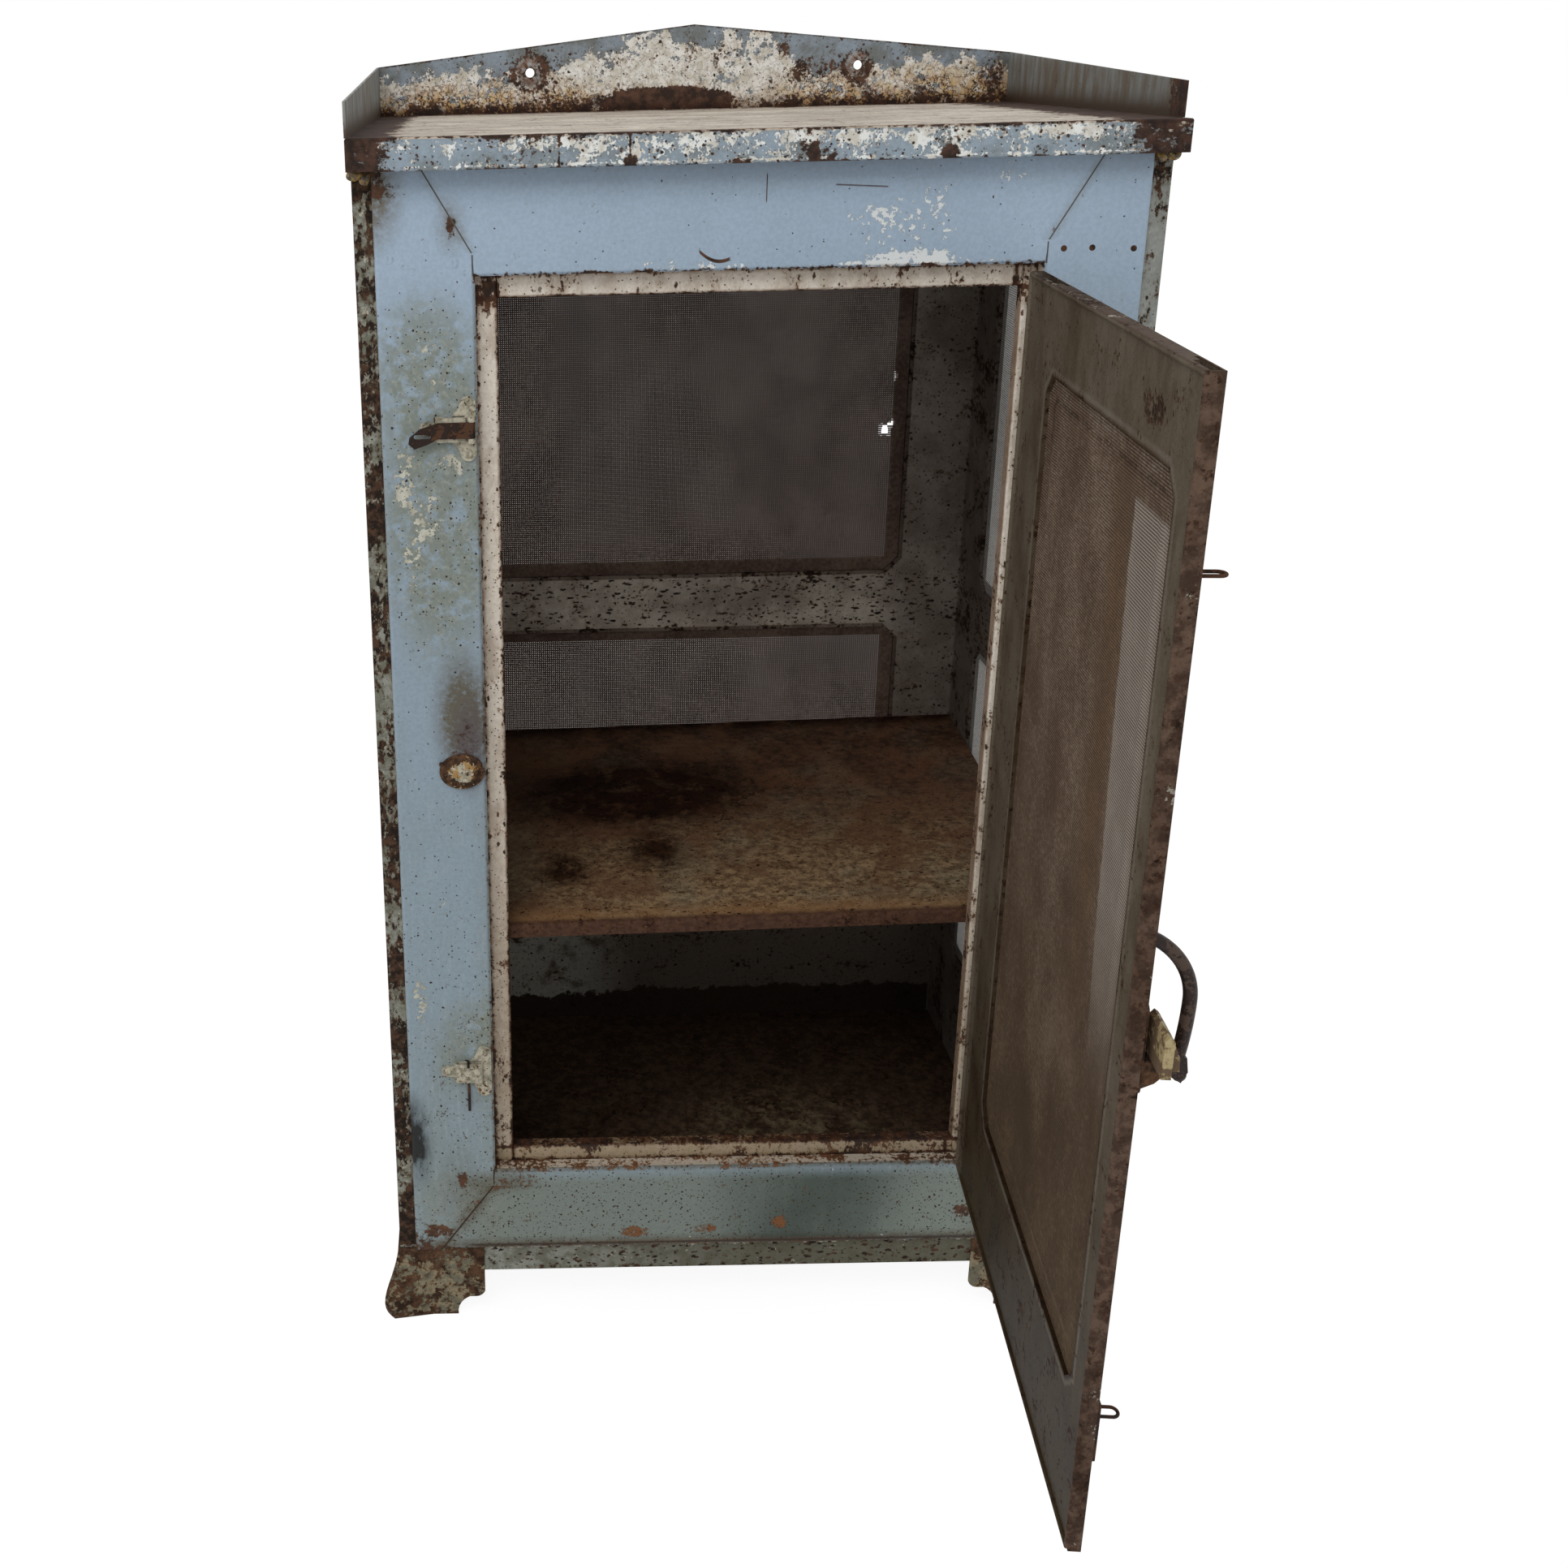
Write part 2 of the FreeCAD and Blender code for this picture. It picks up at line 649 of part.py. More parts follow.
def foot_front_right():
    """Bracket foot: two sheet wings that flare out to the corner, lofted from plan outlines."""
    x_out = carcass_half + foot_sheet
    y_out = carcass_front - foot_sheet
    flat = foot_length * foot_flat
    foot_height = face_bottom - foot_clear
    wires = []
    for k in range(foot_rings + 1):
        z = foot_height * k / foot_rings
        if z < foot_bulge:
            flare = foot_flare * (0.4 + 0.6 * math.sin(math.pi / 2 * z / foot_bulge))
        else:
            rise = (z - foot_bulge) / (foot_height - foot_bulge)
            flare = foot_flare * (0.5 + 0.5 * math.cos(math.pi * rise))
        outer = [V(x_out - foot_length, y_out, z), V(x_out - foot_length + flat, y_out, z),
                 V(x_out + flare, y_out - flare, z),
                 V(x_out, y_out + foot_length - flat, z), V(x_out, y_out + foot_length, z)]
        t = foot_sheet
        inner = [V(x_out - t, y_out + foot_length, z), V(x_out - t, y_out + foot_length - flat, z),
                 V(x_out + flare - t, y_out - flare + t, z),
                 V(x_out - foot_length + flat, y_out + t, z), V(x_out - foot_length, y_out + t, z)]
        points = outer + inner
        wires.append(Part.makePolygon(points + [points[0]]))
    shell = Part.makeLoft(wires, True, True)
    along_x = foot_outline_cutter(foot_length)
    along_x.rotate(V(0, 0, 0), V(0, 0, 1), 180)
    along_x.translate(V(x_out, 0, 0))
    along_y = foot_outline_cutter(foot_length)
    along_y.rotate(V(0, 0, 0), V(0, 0, 1), 90)
    along_y.translate(V(0, y_out, 0))
    near, past = 2 * foot_sheet, 3 * foot_sheet
    front_wing = box(x_out - foot_length - foot_past, x_out - near, y_out - foot_past, y_out + past,
                     -foot_past, foot_height + foot_past)
    side_wing = box(x_out - past, x_out + foot_past, y_out + near, y_out + foot_length + foot_past,
                    -foot_past, foot_height + foot_past)
    return shell.cut(along_x.common(front_wing)).cut(along_y.common(side_wing))


def build_feet():
    right = foot_front_right()
    middle = (carcass_front + carcass_rear) / 2
    rear = right.mirror(V(0, middle, 0), V(0, 1, 0))
    save("foot_front_right", right)
    save("foot_front_left", mirrored_x(right))
    save("foot_rear_right", rear)
    save("foot_rear_left", mirrored_x(rear))


# ---------------------------------------------------------------- door, drawn shut

pivot = V(hinge_x, hinge_y, 0)


def swing_open(shape):
    shape.rotate(pivot, V(0, 0, 1), door_open_rest)
    return shape


def bead(start, end):
    return cylinder(bead_radius, start, end)


def door_bars():
    """Stiles and rails, the same two-skin section as the panels, with a rolled edge inside."""
    win_free = door_left - door_free_stile
    win_hinge = door_right - door_hinge_stile
    window = [(door_bottom + door_bottom_rail, door_top - door_top_rail)]
    bars = panel_bars(-door_right, door_left, -win_hinge, win_free, door_bottom, door_top, window,
                      door_depth, door_lip)
    gauze = gauze_sheet(-win_hinge, win_free, window[0][0], window[0][1])
    for shape in bars + [gauze]:
        shape.rotate(V(0, 0, 0), V(0, 0, 1), 180)      # outer skin to the front
        shape.translate(V(0, door_depth, 0))
    return bars, gauze, -win_free, win_hinge


def build_door_frame():
    (hinge_stile, free_stile, bottom, top), gauze, x_free, x_hinge = door_bars()
    r = bead_radius
    y = door_depth
    z0, z1 = door_bottom + r, door_top - r
    xf, xh = -door_left + r, door_right - r
    free_stile = fuse(free_stile, bead(V(xf, y, z0), V(xf, y, z1)),
                      bead(V(xf, y, z0), V(x_free, y, z0)), bead(V(xf, y, z1), V(x_free, y, z1)))
    hinge_stile = fuse(hinge_stile, bead(V(xh, y, z0), V(xh, y, z1)),
                       bead(V(x_hinge, y, z0), V(xh, y, z0)), bead(V(x_hinge, y, z1), V(xh, y, z1)))
    bottom = fuse(bottom, bead(V(x_free, y, z0), V(x_hinge, y, z0)))
    top = fuse(top, bead(V(x_free, y, z1), V(x_hinge, y, z1)))
    save("door_stile_hinge", swing_open(hinge_stile))
    save("door_stile_free", swing_open(free_stile))
    save("door_rail_bottom", swing_open(bottom))
    save("door_rail_top", swing_open(top))
    save("door_gauze", swing_open(gauze))


def hinge_leaf(z, on_door):
    """Leaf with its knuckles. The frame leaf has the outer two and the pin."""
    third = hinge_length / 3
    z0 = z - hinge_length / 2
    if on_door:
        leaf = box(hinge_x - leaf_door, hinge_x - hinge_knuckle, -leaf_thick, 0, z0, z0 + hinge_length)
        spans = [(z0 + third + hinge_gap / 2, z0 + 2 * third - hinge_gap / 2)]
        tongue = (hinge_x - hinge_knuckle - 1, hinge_x)
    else:
        leaf = box(hinge_x + hinge_knuckle, hinge_x + leaf_frame, -leaf_thick, 0, z0, z0 + hinge_length)
        spans = [(z0, z0 + third - hinge_gap / 2), (z0 + 2 * third + hinge_gap / 2, z0 + hinge_length)]
        tongue = (hinge_x, hinge_x + hinge_knuckle + 1)
    for a, b in spans:
        knuckle = cylinder(hinge_knuckle, V(hinge_x, hinge_y, a), V(hinge_x, hinge_y, b))
        strap = box(tongue[0], tongue[1], -leaf_thick - leaf_root, -leaf_clear, a, b)
        leaf = fuse(leaf, strap, knuckle)
    bore = hinge_pin + hinge_play if on_door else hinge_pin
    hole = cylinder(bore, V(hinge_x, hinge_y, z0 - 1), V(hinge_x, hinge_y, z0 + hinge_length + 1))
    if on_door:
        return leaf.cut(hole)
    pin = cylinder(hinge_pin, V(hinge_x, hinge_y, z0), V(hinge_x, hinge_y, z0 + hinge_length))
    return fuse(leaf, pin)


def build_hinges():
    save("hinge_leaves_frame", Part.makeCompound([hinge_leaf(z, False) for z in hinge_heights]))
    save("hinge_leaves_door", Part.makeCompound([swing_open(hinge_leaf(z, True)) for z in hinge_heights]))


# ---------------------------------------------------------------- hasps

def hasp_plate(z_mid):
    """Three-cornered plate with concave sides, screw ears and a raised saddle."""
    right = hasp_edge
    ear_x = right - hasp_ear_radius
    tip_x = right - hasp_length
    r = hasp_ear_radius
    t = hasp_tip
    up = z_mid + hasp_ear
    down = z_mid - hasp_ear

    def p(x, z):
        return V(x, -hasp_plate_thick, z)

    waist_x = ear_x - hasp_waist_run
    edges = [Part.LineSegment(p(right, down), p(right, up)).toShape(),
             Part.Arc(p(right, up), p(ear_x, up + r), p(ear_x - r, up)).toShape(),
             Part.Arc(p(ear_x - r, up), p(waist_x, z_mid + hasp_waist), p(tip_x + t, z_mid + t)).toShape(),
             Part.Arc(p(tip_x + t, z_mid + t), p(tip_x, z_mid), p(tip_x + t, z_mid - t)).toShape(),
             Part.Arc(p(tip_x + t, z_mid - t), p(waist_x, z_mid - hasp_waist), p(ear_x - r, down)).toShape(),
             Part.Arc(p(ear_x - r, down), p(ear_x, down - r), p(right, down)).toShape()]
    plate = Part.Face(Part.Wire(edges)).extrude(V(0, hasp_plate_thick, 0))
    x1 = hasp_pin_x - hasp_eye - 1
    x0 = x1 - saddle_length
    y0 = -hasp_plate_thick - saddle_height
    saddle = box(x0, x1, y0, 0, z_mid - saddle_half, z_mid + saddle_half)
    outer = [e for e in saddle.Edges if abs(e.BoundBox.YMax - y0) < 1e-6 and e.BoundBox.ZLength > 1]
    saddle = saddle.makeFillet(saddle_round, outer)
    plate = fuse(plate, saddle)
    tunnel = box(x0 + saddle_wall, x1 - saddle_wall, y0 + saddle_wall, 1, z_mid - saddle_half - 1,
                 z_mid + saddle_half + 1)
    keep = box(x0 - 1, x1 + 1, -hasp_plate_thick, 0, z_mid - saddle_half, z_mid + saddle_half)
    return fuse(plate.cut(tunnel), keep)


def hasp_plate_upper():
    """Upper plate with the two eyes and the pin that the strap turns on."""
    plate = hasp_plate(hasp_height)
    half = strap_width / 2
    reach = half + hinge_gap / 2 + hasp_eye_length
    for sign in (-1, 1):
        a = hasp_height + sign * (half + hinge_gap / 2)
        b = hasp_height + sign * reach
        eye = cylinder(hasp_eye, V(hasp_pin_x, hasp_pin_y, min(a, b)), V(hasp_pin_x, hasp_pin_y, max(a, b)))
        web = box(hasp_pin_x - hasp_eye, hasp_pin_x + hasp_eye, hasp_pin_y, -hasp_plate_thick / 2,
                  min(a, b), max(a, b))
        plate = fuse(plate, eye, web)
    pin = cylinder(hasp_pin, V(hasp_pin_x, hasp_pin_y, hasp_height - reach),
                   V(hasp_pin_x, hasp_pin_y, hasp_height + reach))
    return fuse(plate, pin)


def hasp_strap():
    """Strap folded back over the plate: an eye, a bar and a lower, slotted end."""
    half = strap_width / 2
    y0 = hasp_pin_y - hasp_eye
    y1 = y0 + strap_thick
    eye = cylinder(hasp_eye, V(hasp_pin_x, hasp_pin_y, hasp_height - half),
                   V(hasp_pin_x, hasp_pin_y, hasp_height + half))
    x_bend = hasp_pin_x - strap_straight
    slot_x = hasp_pin_x - strap_slot_reach
    slot_z = hasp_height - strap_slot_drop
    end = strap_end_width / 2
    tip_x = slot_x - strap_slot_length / 2 - 4.5
    tip_z = slot_z - 4
    outline = [(hasp_pin_x, hasp_height - half), (x_bend, hasp_height - half),
               (slot_x + 4, slot_z - end), (tip_x + 5, tip_z - end + 0.5), (tip_x, tip_z - 1.5),
               (tip_x + 1, tip_z + 3.5), (slot_x - 2, slot_z + end), (x_bend, hasp_height + half),
               (hasp_pin_x, hasp_height + half)]
    bar = prism_xz(outline, y0, y1)
    strap = fuse(bar, eye)
    r = strap_slot_width / 2
    a = slot_x - strap_slot_length / 2 + r
    b = slot_x + strap_slot_length / 2 - r
    slot = box(a, b, y0 - 1, y1 + 1, slot_z - r, slot_z + r)
    for x in (a, b):
        slot = fuse(slot, cylinder(r, V(x, y0 - 1, slot_z), V(x, y1 + 1, slot_z)))
    bore = cylinder(hasp_pin + strap_play, V(hasp_pin_x, hasp_pin_y, hasp_height - half - 1),
                    V(hasp_pin_x, hasp_pin_y, hasp_height + half + 1))
    return strap.cut(slot).cut(bore)


def drop_pin():
    """Bent wire dropped through the lower saddle, its head resting on the saddle's top."""
    y = -hasp_plate_thick - saddle_height / 2 + saddle_wall / 2
    z_saddle = hasp_low_height + saddle_half
    r = drop_pin_radius
    z0 = hasp_low_height - drop_pin_below
    z1 = z_saddle + r + 0.3
    shank = cylinder(r, V(drop_pin_x, y, z0), V(drop_pin_x, y, z1))
    head = cylinder(r, V(drop_pin_x, y, z1), V(drop_pin_x, y - saddle_height - drop_pin_head, z1))
    knee = Part.makeSphere(r, V(drop_pin_x, y, z1))
    return fuse(shank, head, knee)


def build_hasps():
    save("hasp_plate_upper", hasp_plate_upper())
    save("hasp_strap", hasp_strap())
    save("hasp_plate_lower", hasp_plate(hasp_low_height))
    save("drop_pin", drop_pin())


# ---------------------------------------------------------------- latch

def latch_keeper():
    """Oval plate on the stile with a low hump for the latch nose."""
    ellipse = Part.Ellipse(V(keeper_x, 0, keeper_z), keeper_half_x, keeper_half_z)
    ellipse.Axis = V(0, -1, 0)
    plate = Part.Face(Part.Wire([ellipse.toShape()])).extrude(V(0, -keeper_plate, 0))
    if plate.Volume < 0:
        plate.reverse()
    hump = Part.makeCone(hump_foot, hump_top, keeper_hump,
                         V(keeper_x + hump_shift, -keeper_plate, keeper_z), V(0, -1, 0))
    return fuse(plate, hump)


def latch_prism(points, x0, x1):
    """A polygon in the YZ plane, carried from x0 to x1."""
    wire = Part.makePolygon([V(x0, y, z) for y, z in points + points[:1]])
    return Part.Face(wire).extrude(V(x1 - x0, 0, 0))


def latch_plate():
    """Base on the door's outer face with the two ears that carry the handle's pin."""
    plate = box(latch_x - latch_plate_half, latch_x + latch_plate_half, -latch_plate_thick, 0,
                latch_pivot_z - latch_plate_below, latch_pivot_z + latch_plate_above)
    upright = [e for e in plate.Edges if e.BoundBox.YLength > 1]
    plate = plate.makeFillet(latch_plate_half * 0.7, upright)
    y, z = latch_pivot_y, latch_pivot_z
    outline = [(-latch_plate_thick, z - 13), (y, z - 9), (y - 4.5, z - 4), (y - 5.5, z + 1),
               (y - 3, z + 5), (y + 1, z + 6), (-latch_plate_thick, z + 6)]
    ear_in = grip_radius + ear_gap
    for sign in (-1, 1):
        x0, x1 = sorted((latch_x + sign * ear_in, latch_x + sign * ear_half))
        plate = fuse(plate, latch_prism(outline, x0, x1))
    pin = cylinder(latch_pin, V(latch_x - ear_half, y, z), V(latch_x + ear_half, y, z))
    return fuse(plate, pin)


def arc_to_bulge(y, z):
    """Centre (Y) and radius of the arc through (y, z) that is upright at the bow's bulge."""
    dz = z - grip_bulge_z
    centre = (y * y + dz * dz - grip_reach ** 2) / (2 * (y + grip_reach))
    return centre, centre + grip_reach


def bow_arc(y, z):
    """Round bar swept about the arc's centre, from the bulge to (y, z)."""
    centre, radius = arc_to_bulge(y, z)
    disc = Part.Face(Part.Wire([Part.Circle(V(latch_x, -grip_reach, grip_bulge_z), V(0, 0, 1),
                                            grip_radius).toShape()]))
    angle = math.degrees(math.asin((z - grip_bulge_z) / radius))
    return disc.revolve(V(latch_x, centre, grip_bulge_z), V(-1, 0, 0), angle)


def latch_handle():
    """Bow grip on two arcs, with a knob and a flat arm that comes back to the pin."""
    upper = bow_arc(0, grip_top_z)
    lower = bow_arc(grip_foot_y, grip_foot_z)
    y, z = latch_pivot_y, latch_pivot_z
    knob = Part.makeSphere(knob_radius, V(latch_x, grip_foot_y - 3, grip_foot_z - 8))
    outline = [(y, z - 6), (y - 10, z - 5.5), (y - 17, z - 10), (grip_foot_y - 7, grip_foot_z - 4),
               (grip_foot_y - 5.5, grip_foot_z + 6), (grip_foot_y + 3, grip_foot_z + 10),
               (y - 8, z + 5.5), (y, z + 6)]
    arm = latch_prism(outline, latch_x - arm_half, latch_x + arm_half)
    eye = cylinder(latch_eye, V(latch_x - grip_radius, y, z), V(latch_x + grip_radius, y, z))
    shape = fuse(upper, lower, arm, eye, knob)
    hole = cylinder(latch_pin + latch_play, V(latch_x - 9, y, z), V(latch_x + 9, y, z))
    door_side = box(latch_x - 20, latch_x + 20, -grip_clear, 20, grip_foot_z, grip_top_z + 20)
    return shape.cut(hole).cut(door_side)


def latch_nose(handle):
    """Ridged wedge on the handle's foot that passes the door's edge and covers the keeper."""
    y0 = -keeper_plate - keeper_hump - nose_over_keeper
    high = nose_high + 1
    profile = [(y0, nose_low), (y0, nose_high), (y0 - nose_top_thick / 2, nose_high + 3),
               (y0 - nose_top_thick, high)]
    pitch = (high - nose_low - nose_foot) / ridge_count
    for k in range(ridge_count):                 # worn ridges down the sloping face
        z = high - (k + 0.5) * pitch
        y = y0 - nose_top_thick - (k + 0.5) / ridge_count * (nose_foot_thick - nose_top_thick)
        profile += [(y - 0.5, z), (y - 0.4, z - pitch / 2)]
    profile += [(y0 - nose_foot_thick, nose_low)]
    wedge = latch_prism(profile, nose_tip, latch_x + grip_radius)
    tip = box(nose_tip - 1, nose_tip + nose_tip_length, y0 - 2 * nose_foot_thick, y0 - nose_tip_thick,
              nose_low - 1, nose_high + 4)
    neck = latch_prism([(y0 - 12, nose_low), (y0 - 12, nose_low + 6), (grip_foot_y, nose_low + 6),
                        (grip_foot_y, nose_low)], latch_x - 3, latch_x + 3)
    return fuse(wedge.cut(tip), neck).cut(handle)


def staples():
    """Two wire loops on the door's outer face, the lower one on a plate."""
    loops = []
    x = hasp_pin_x + strap_slot_reach
    out = -staple_reach
    upper = (hasp_height - strap_slot_drop, 0.0)
    lower = (hasp_low_height - staple_low_drop, staple_plate_thick)
    for z, base in (upper, lower):
        r = staple_wire
        legs = [cylinder(r, V(x + s * staple_half, -base, z), V(x + s * staple_half, out + staple_half, z))
                for s in (-1, 1)]
        bow = Part.makeTorus(staple_half, r, V(x, out + staple_half, z), V(0, 0, 1))
        front = box(x - 2 * staple_half, x + 2 * staple_half, out - 5, out + staple_half, z - 5, z + 5)
        loop = fuse(legs[0], legs[1], bow.common(front))
        if base:
            plate = box(x - staple_plate_half_x, x + staple_plate_half_x, -base, 0,
                        z - staple_plate_half_z, z + staple_plate_half_z)
            loop = fuse(plate, loop)
        loops.append(loop)
    return loops


def build_latch():
    save("latch_keeper", latch_keeper())
    save("latch_plate", swing_open(latch_plate()))
    handle = latch_handle()
    nose = latch_nose(handle)
    save("latch_handle", swing_open(handle))
    save("latch_nose", swing_open(nose))
    save("door_staples", Part.makeCompound([swing_open(s) for s in staples()]))


os.makedirs("parts", exist_ok=True)
build_carcass()
build_top()
build_face()
build_back()
build_sides()
build_inside()
build_feet()
build_door_frame()
build_hinges()
build_hasps()
build_latch()
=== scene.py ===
"""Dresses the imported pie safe: worn paint and rust, woven gauze, screws, welds, lights and camera.

Metres, in the part's frame: X to the right, Y to the back, Z up, origin at floor level.
"""

import json
import math

import bpy
import numpy as np
from mathutils import Matrix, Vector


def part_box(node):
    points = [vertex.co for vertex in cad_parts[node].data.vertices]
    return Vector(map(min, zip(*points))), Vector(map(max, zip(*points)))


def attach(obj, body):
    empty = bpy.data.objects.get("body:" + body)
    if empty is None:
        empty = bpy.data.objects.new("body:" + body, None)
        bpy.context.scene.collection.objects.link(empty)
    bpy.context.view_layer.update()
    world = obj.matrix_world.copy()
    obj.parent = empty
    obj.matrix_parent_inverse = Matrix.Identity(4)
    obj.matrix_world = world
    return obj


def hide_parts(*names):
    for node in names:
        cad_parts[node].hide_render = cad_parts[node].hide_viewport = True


bl_info = {
    "name": "Pie safe dressing",
    "version": (1, 0, 0),
    "blender": (4, 5, 0),
    "location": "View3D > Sidebar > Pie safe",
    "description": "Worn paint, gauze, fixings and stage for a sheet-steel pie safe",
    "category": "Object",
}

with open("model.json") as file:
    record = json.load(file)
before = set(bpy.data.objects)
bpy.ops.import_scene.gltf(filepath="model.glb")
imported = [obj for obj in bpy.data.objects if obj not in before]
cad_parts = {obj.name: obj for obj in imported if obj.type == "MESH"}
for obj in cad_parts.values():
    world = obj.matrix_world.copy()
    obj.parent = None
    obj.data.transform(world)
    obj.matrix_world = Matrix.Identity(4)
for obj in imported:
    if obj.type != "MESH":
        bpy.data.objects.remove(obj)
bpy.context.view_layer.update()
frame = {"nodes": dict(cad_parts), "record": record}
REST_OPEN = math.radians(84.8)
HINGE = np.array([0.2235, -0.0034])

# edges of the face frame, its opening and the gauze windows
FACE_HALF = 0.3
FACE_FOOT = 0.079
OPENING_HALF = 0.222
OPENING_FOOT = 0.1687
OPENING_TOP = 1.0
TOP_HEIGHT = 1.1065
BACK_WINDOW_HALF = 0.231
LOWER_WINDOW = (0.19, 0.555)
UPPER_WINDOW = (0.62, 0.985)
DOOR_WINDOW = (-0.175, 0.142, 0.277, 0.93)
WINDOW_CORNER = 0.015

# room between a gauze and its window's edge, and where each gauze stands in its frame
GAUZE_GAP = 0.0003
BACK_GAUZE_INSET = 0.0014
SIDE_GAUZE_X = 0.303
DOOR_GAUZE_Y = 0.0056


# ------------------------------------------------------------------ shader expressions

class Term:
    """A socket in a sum. The operators + - * and abs add Math nodes to its sheet."""

    def __init__(self, sheet, socket):
        self.sheet = sheet
        self.socket = socket

    def _math(self, operation, a, b):
        return self.sheet.node("ShaderNodeMath", {"operation": operation}, {0: a, 1: b})

    def __add__(self, other):
        return self._math("ADD", self, other)

    __radd__ = __add__

    def __sub__(self, other):
        return self._math("SUBTRACT", self, other)

    def __rsub__(self, other):
        return self._math("SUBTRACT", other, self)

    def __mul__(self, other):
        return self._math("MULTIPLY", self, other)

    __rmul__ = __mul__

    def __abs__(self):
        return self._math("ABSOLUTE", self, 0.0)

    def most(self, other):
        """The larger of the two."""
        return self._math("MAXIMUM", self, other)

    def clamped(self):
        """Held between 0 and 1."""
        return self.sheet.node("ShaderNodeClamp", {}, {"Value": self})

    def step(self, low, high):
        """0 below low, 1 above high, a smooth rise between."""
        return self.sheet.node("ShaderNodeMapRange", {"interpolation_type": "SMOOTHSTEP"},
                               {"Value": self, "From Min": low, "From Max": high})

    def below(self, low, high):
        """1 below low, 0 above high."""
        return 1.0 - self.step(low, high)


class Sheet:
    """One node tree being written: adds nodes and hands back their outputs as terms."""

    def __init__(self, tree):
        self.tree = tree

    def raw(self, kind, settings, inputs):
        """Adds a node: settings first, then values or links for its sockets."""
        made = self.tree.nodes.new(kind)
        for key, value in settings.items():
            setattr(made, key, value)
        for key, value in inputs.items():
            if isinstance(value, Term):
                self.tree.links.new(value.socket, made.inputs[key])
            elif value is not None:
                made.inputs[key].default_value = value
        return made

    def node(self, kind, settings, inputs, output=0):
        """Adds a node and returns one of its outputs."""
        return Term(self, self.raw(kind, settings, inputs).outputs[output])

    def feed(self, **values):
        """Sets or links the surface's sockets. Spaces in their names are written as underscores."""
        for name, value in values.items():
            place = self.surface.inputs[name.replace("_", " ")]
            if isinstance(value, Term):
                self.tree.links.new(value.socket, place)
            else:
                place.default_value = value

    def vector(self, operation, a, b, output=0):
        """One step of vector arithmetic."""
        return self.node("ShaderNodeVectorMath", {"operation": operation}, {0: a, 1: b}, output)

    def mix(self, share, a, b, blend="MIX"):
        """Colour a where share is 0 and b where it is 1."""
        colour = [c if isinstance(c, Term) else (*c, 1.0) for c in (a, b)]
        return self.node("ShaderNodeMix", {"data_type": "RGBA", "blend_type": blend},
                         {0: share, 6: colour[0], 7: colour[1]}, 2)

    def noise(self, size, detail=4.0, rough=0.55, stretch=(1, 1, 1), shift=0.0, output=0):
        """Cloudy pattern with features of about that size in metres."""
        place = self.node("ShaderNodeMapping", {}, {"Vector": self.place, "Location": (shift,) * 3,
                                                    "Scale": stretch})
        return self.node("ShaderNodeTexNoise", {}, {"Vector": place, "Scale": 1.0 / size,
                                                    "Detail": detail, "Roughness": rough}, output)

    def pits(self, size, share, shift=0.0, stretch=(1, 1, 1)):
        """Round spots of about that size in a share of the cells they stand in."""
        wobble = self.noise(size * 1.2, 3.0, 0.6, output="Color")
        wobble = self.node("ShaderNodeVectorMath", {"operation": "SCALE"}, {0: wobble, "Scale": size * 1.4})
        moved = self.vector("ADD", self.place, wobble)
        place = self.node("ShaderNodeMapping", {}, {"Vector": moved, "Location": (shift,) * 3,
                                                    "Scale": stretch})
        cells = self.raw("ShaderNodeTexVoronoi", {}, {"Vector": place, "Scale": 0.4 / size})
        lot = self.node("ShaderNodeSeparateColor", {}, {0: Term(self, cells.outputs["Color"])})
        near = Term(self, cells.outputs["Distance"]).below(0.16, 0.26)
        if isinstance(share, Term):
            return near * (share - lot).step(0.0, 0.02)
        return near * lot.below(share, share + 0.02)

    def blot(self, centre, radii, soft=0.6):
        """1 at a place, falling to 0 at the radii, along all three axes."""
        away = self.vector("SUBTRACT", self.place, centre)
        scaled = self.vector("MULTIPLY", away, tuple(1.0 / r for r in radii))
        distance = self.vector("LENGTH", scaled, None, "Value")
        return distance.below(1.0 - soft, 1.0)

    def blots(self, rows, y=0, reach_y=1):
        """Sum of blots. A row is (weight, x, z, reach in x, reach in z[, softness])."""
        return self.total([weight * self.blot((x, y, z), (rx, reach_y, rz), *soft)
                           for weight, x, z, rx, rz, *soft in rows])

    def near(self, coordinate, value, width):
        """1 where the coordinate is at the value, falling to 0 a width away."""
        return abs(coordinate - value).below(0.0, width)

    def total(self, terms):
        """Sum of several masks."""
        result = terms[0]
        for term in terms[1:]:
            result = result + term
        return result


def new_material(name):
    """The sheet of a new material, with its surface and the object's own coordinates."""
    material = bpy.data.materials.new(name)
    material.use_nodes = True
    s = Sheet(material.node_tree)
    s.material = material
    s.surface = s.tree.nodes["Principled BSDF"]
    s.place = s.node("ShaderNodeTexCoord", {}, {}, "Object")
    parts = s.raw("ShaderNodeSeparateXYZ", {}, {0: s.place})
    s.x, s.y, s.z = (Term(s, parts.outputs[k]) for k in range(3))
    return s


RUST_DARK = (0.03, 0.016, 0.011)
RUST = (0.105, 0.048, 0.026)


def rust_colour(s, dark=RUST_DARK, light=RUST, size=0.012):
    """Dark and light rust, clouded together."""
    return s.mix(s.noise(size, 6.0, 0.7, shift=3.1).step(0.38, 0.66), dark, light)


def flakes(s, bias, size, shift=0.0, stretch=(1, 1, 1)):
    """Ragged noise lifted by a bias. A coat is lost where it passes 0.7.

    A bias of 0.05 loses about a fiftieth of the coat, 0.13 a seventh and 0.2 a half.
    """
    wide = s.noise(size * 5.0, 3.0, 0.5, stretch, shift + 7.0)
    fine = s.noise(size, 8.0, 0.66, stretch, shift)
    return wide * 0.4 + fine * 0.6 + bias


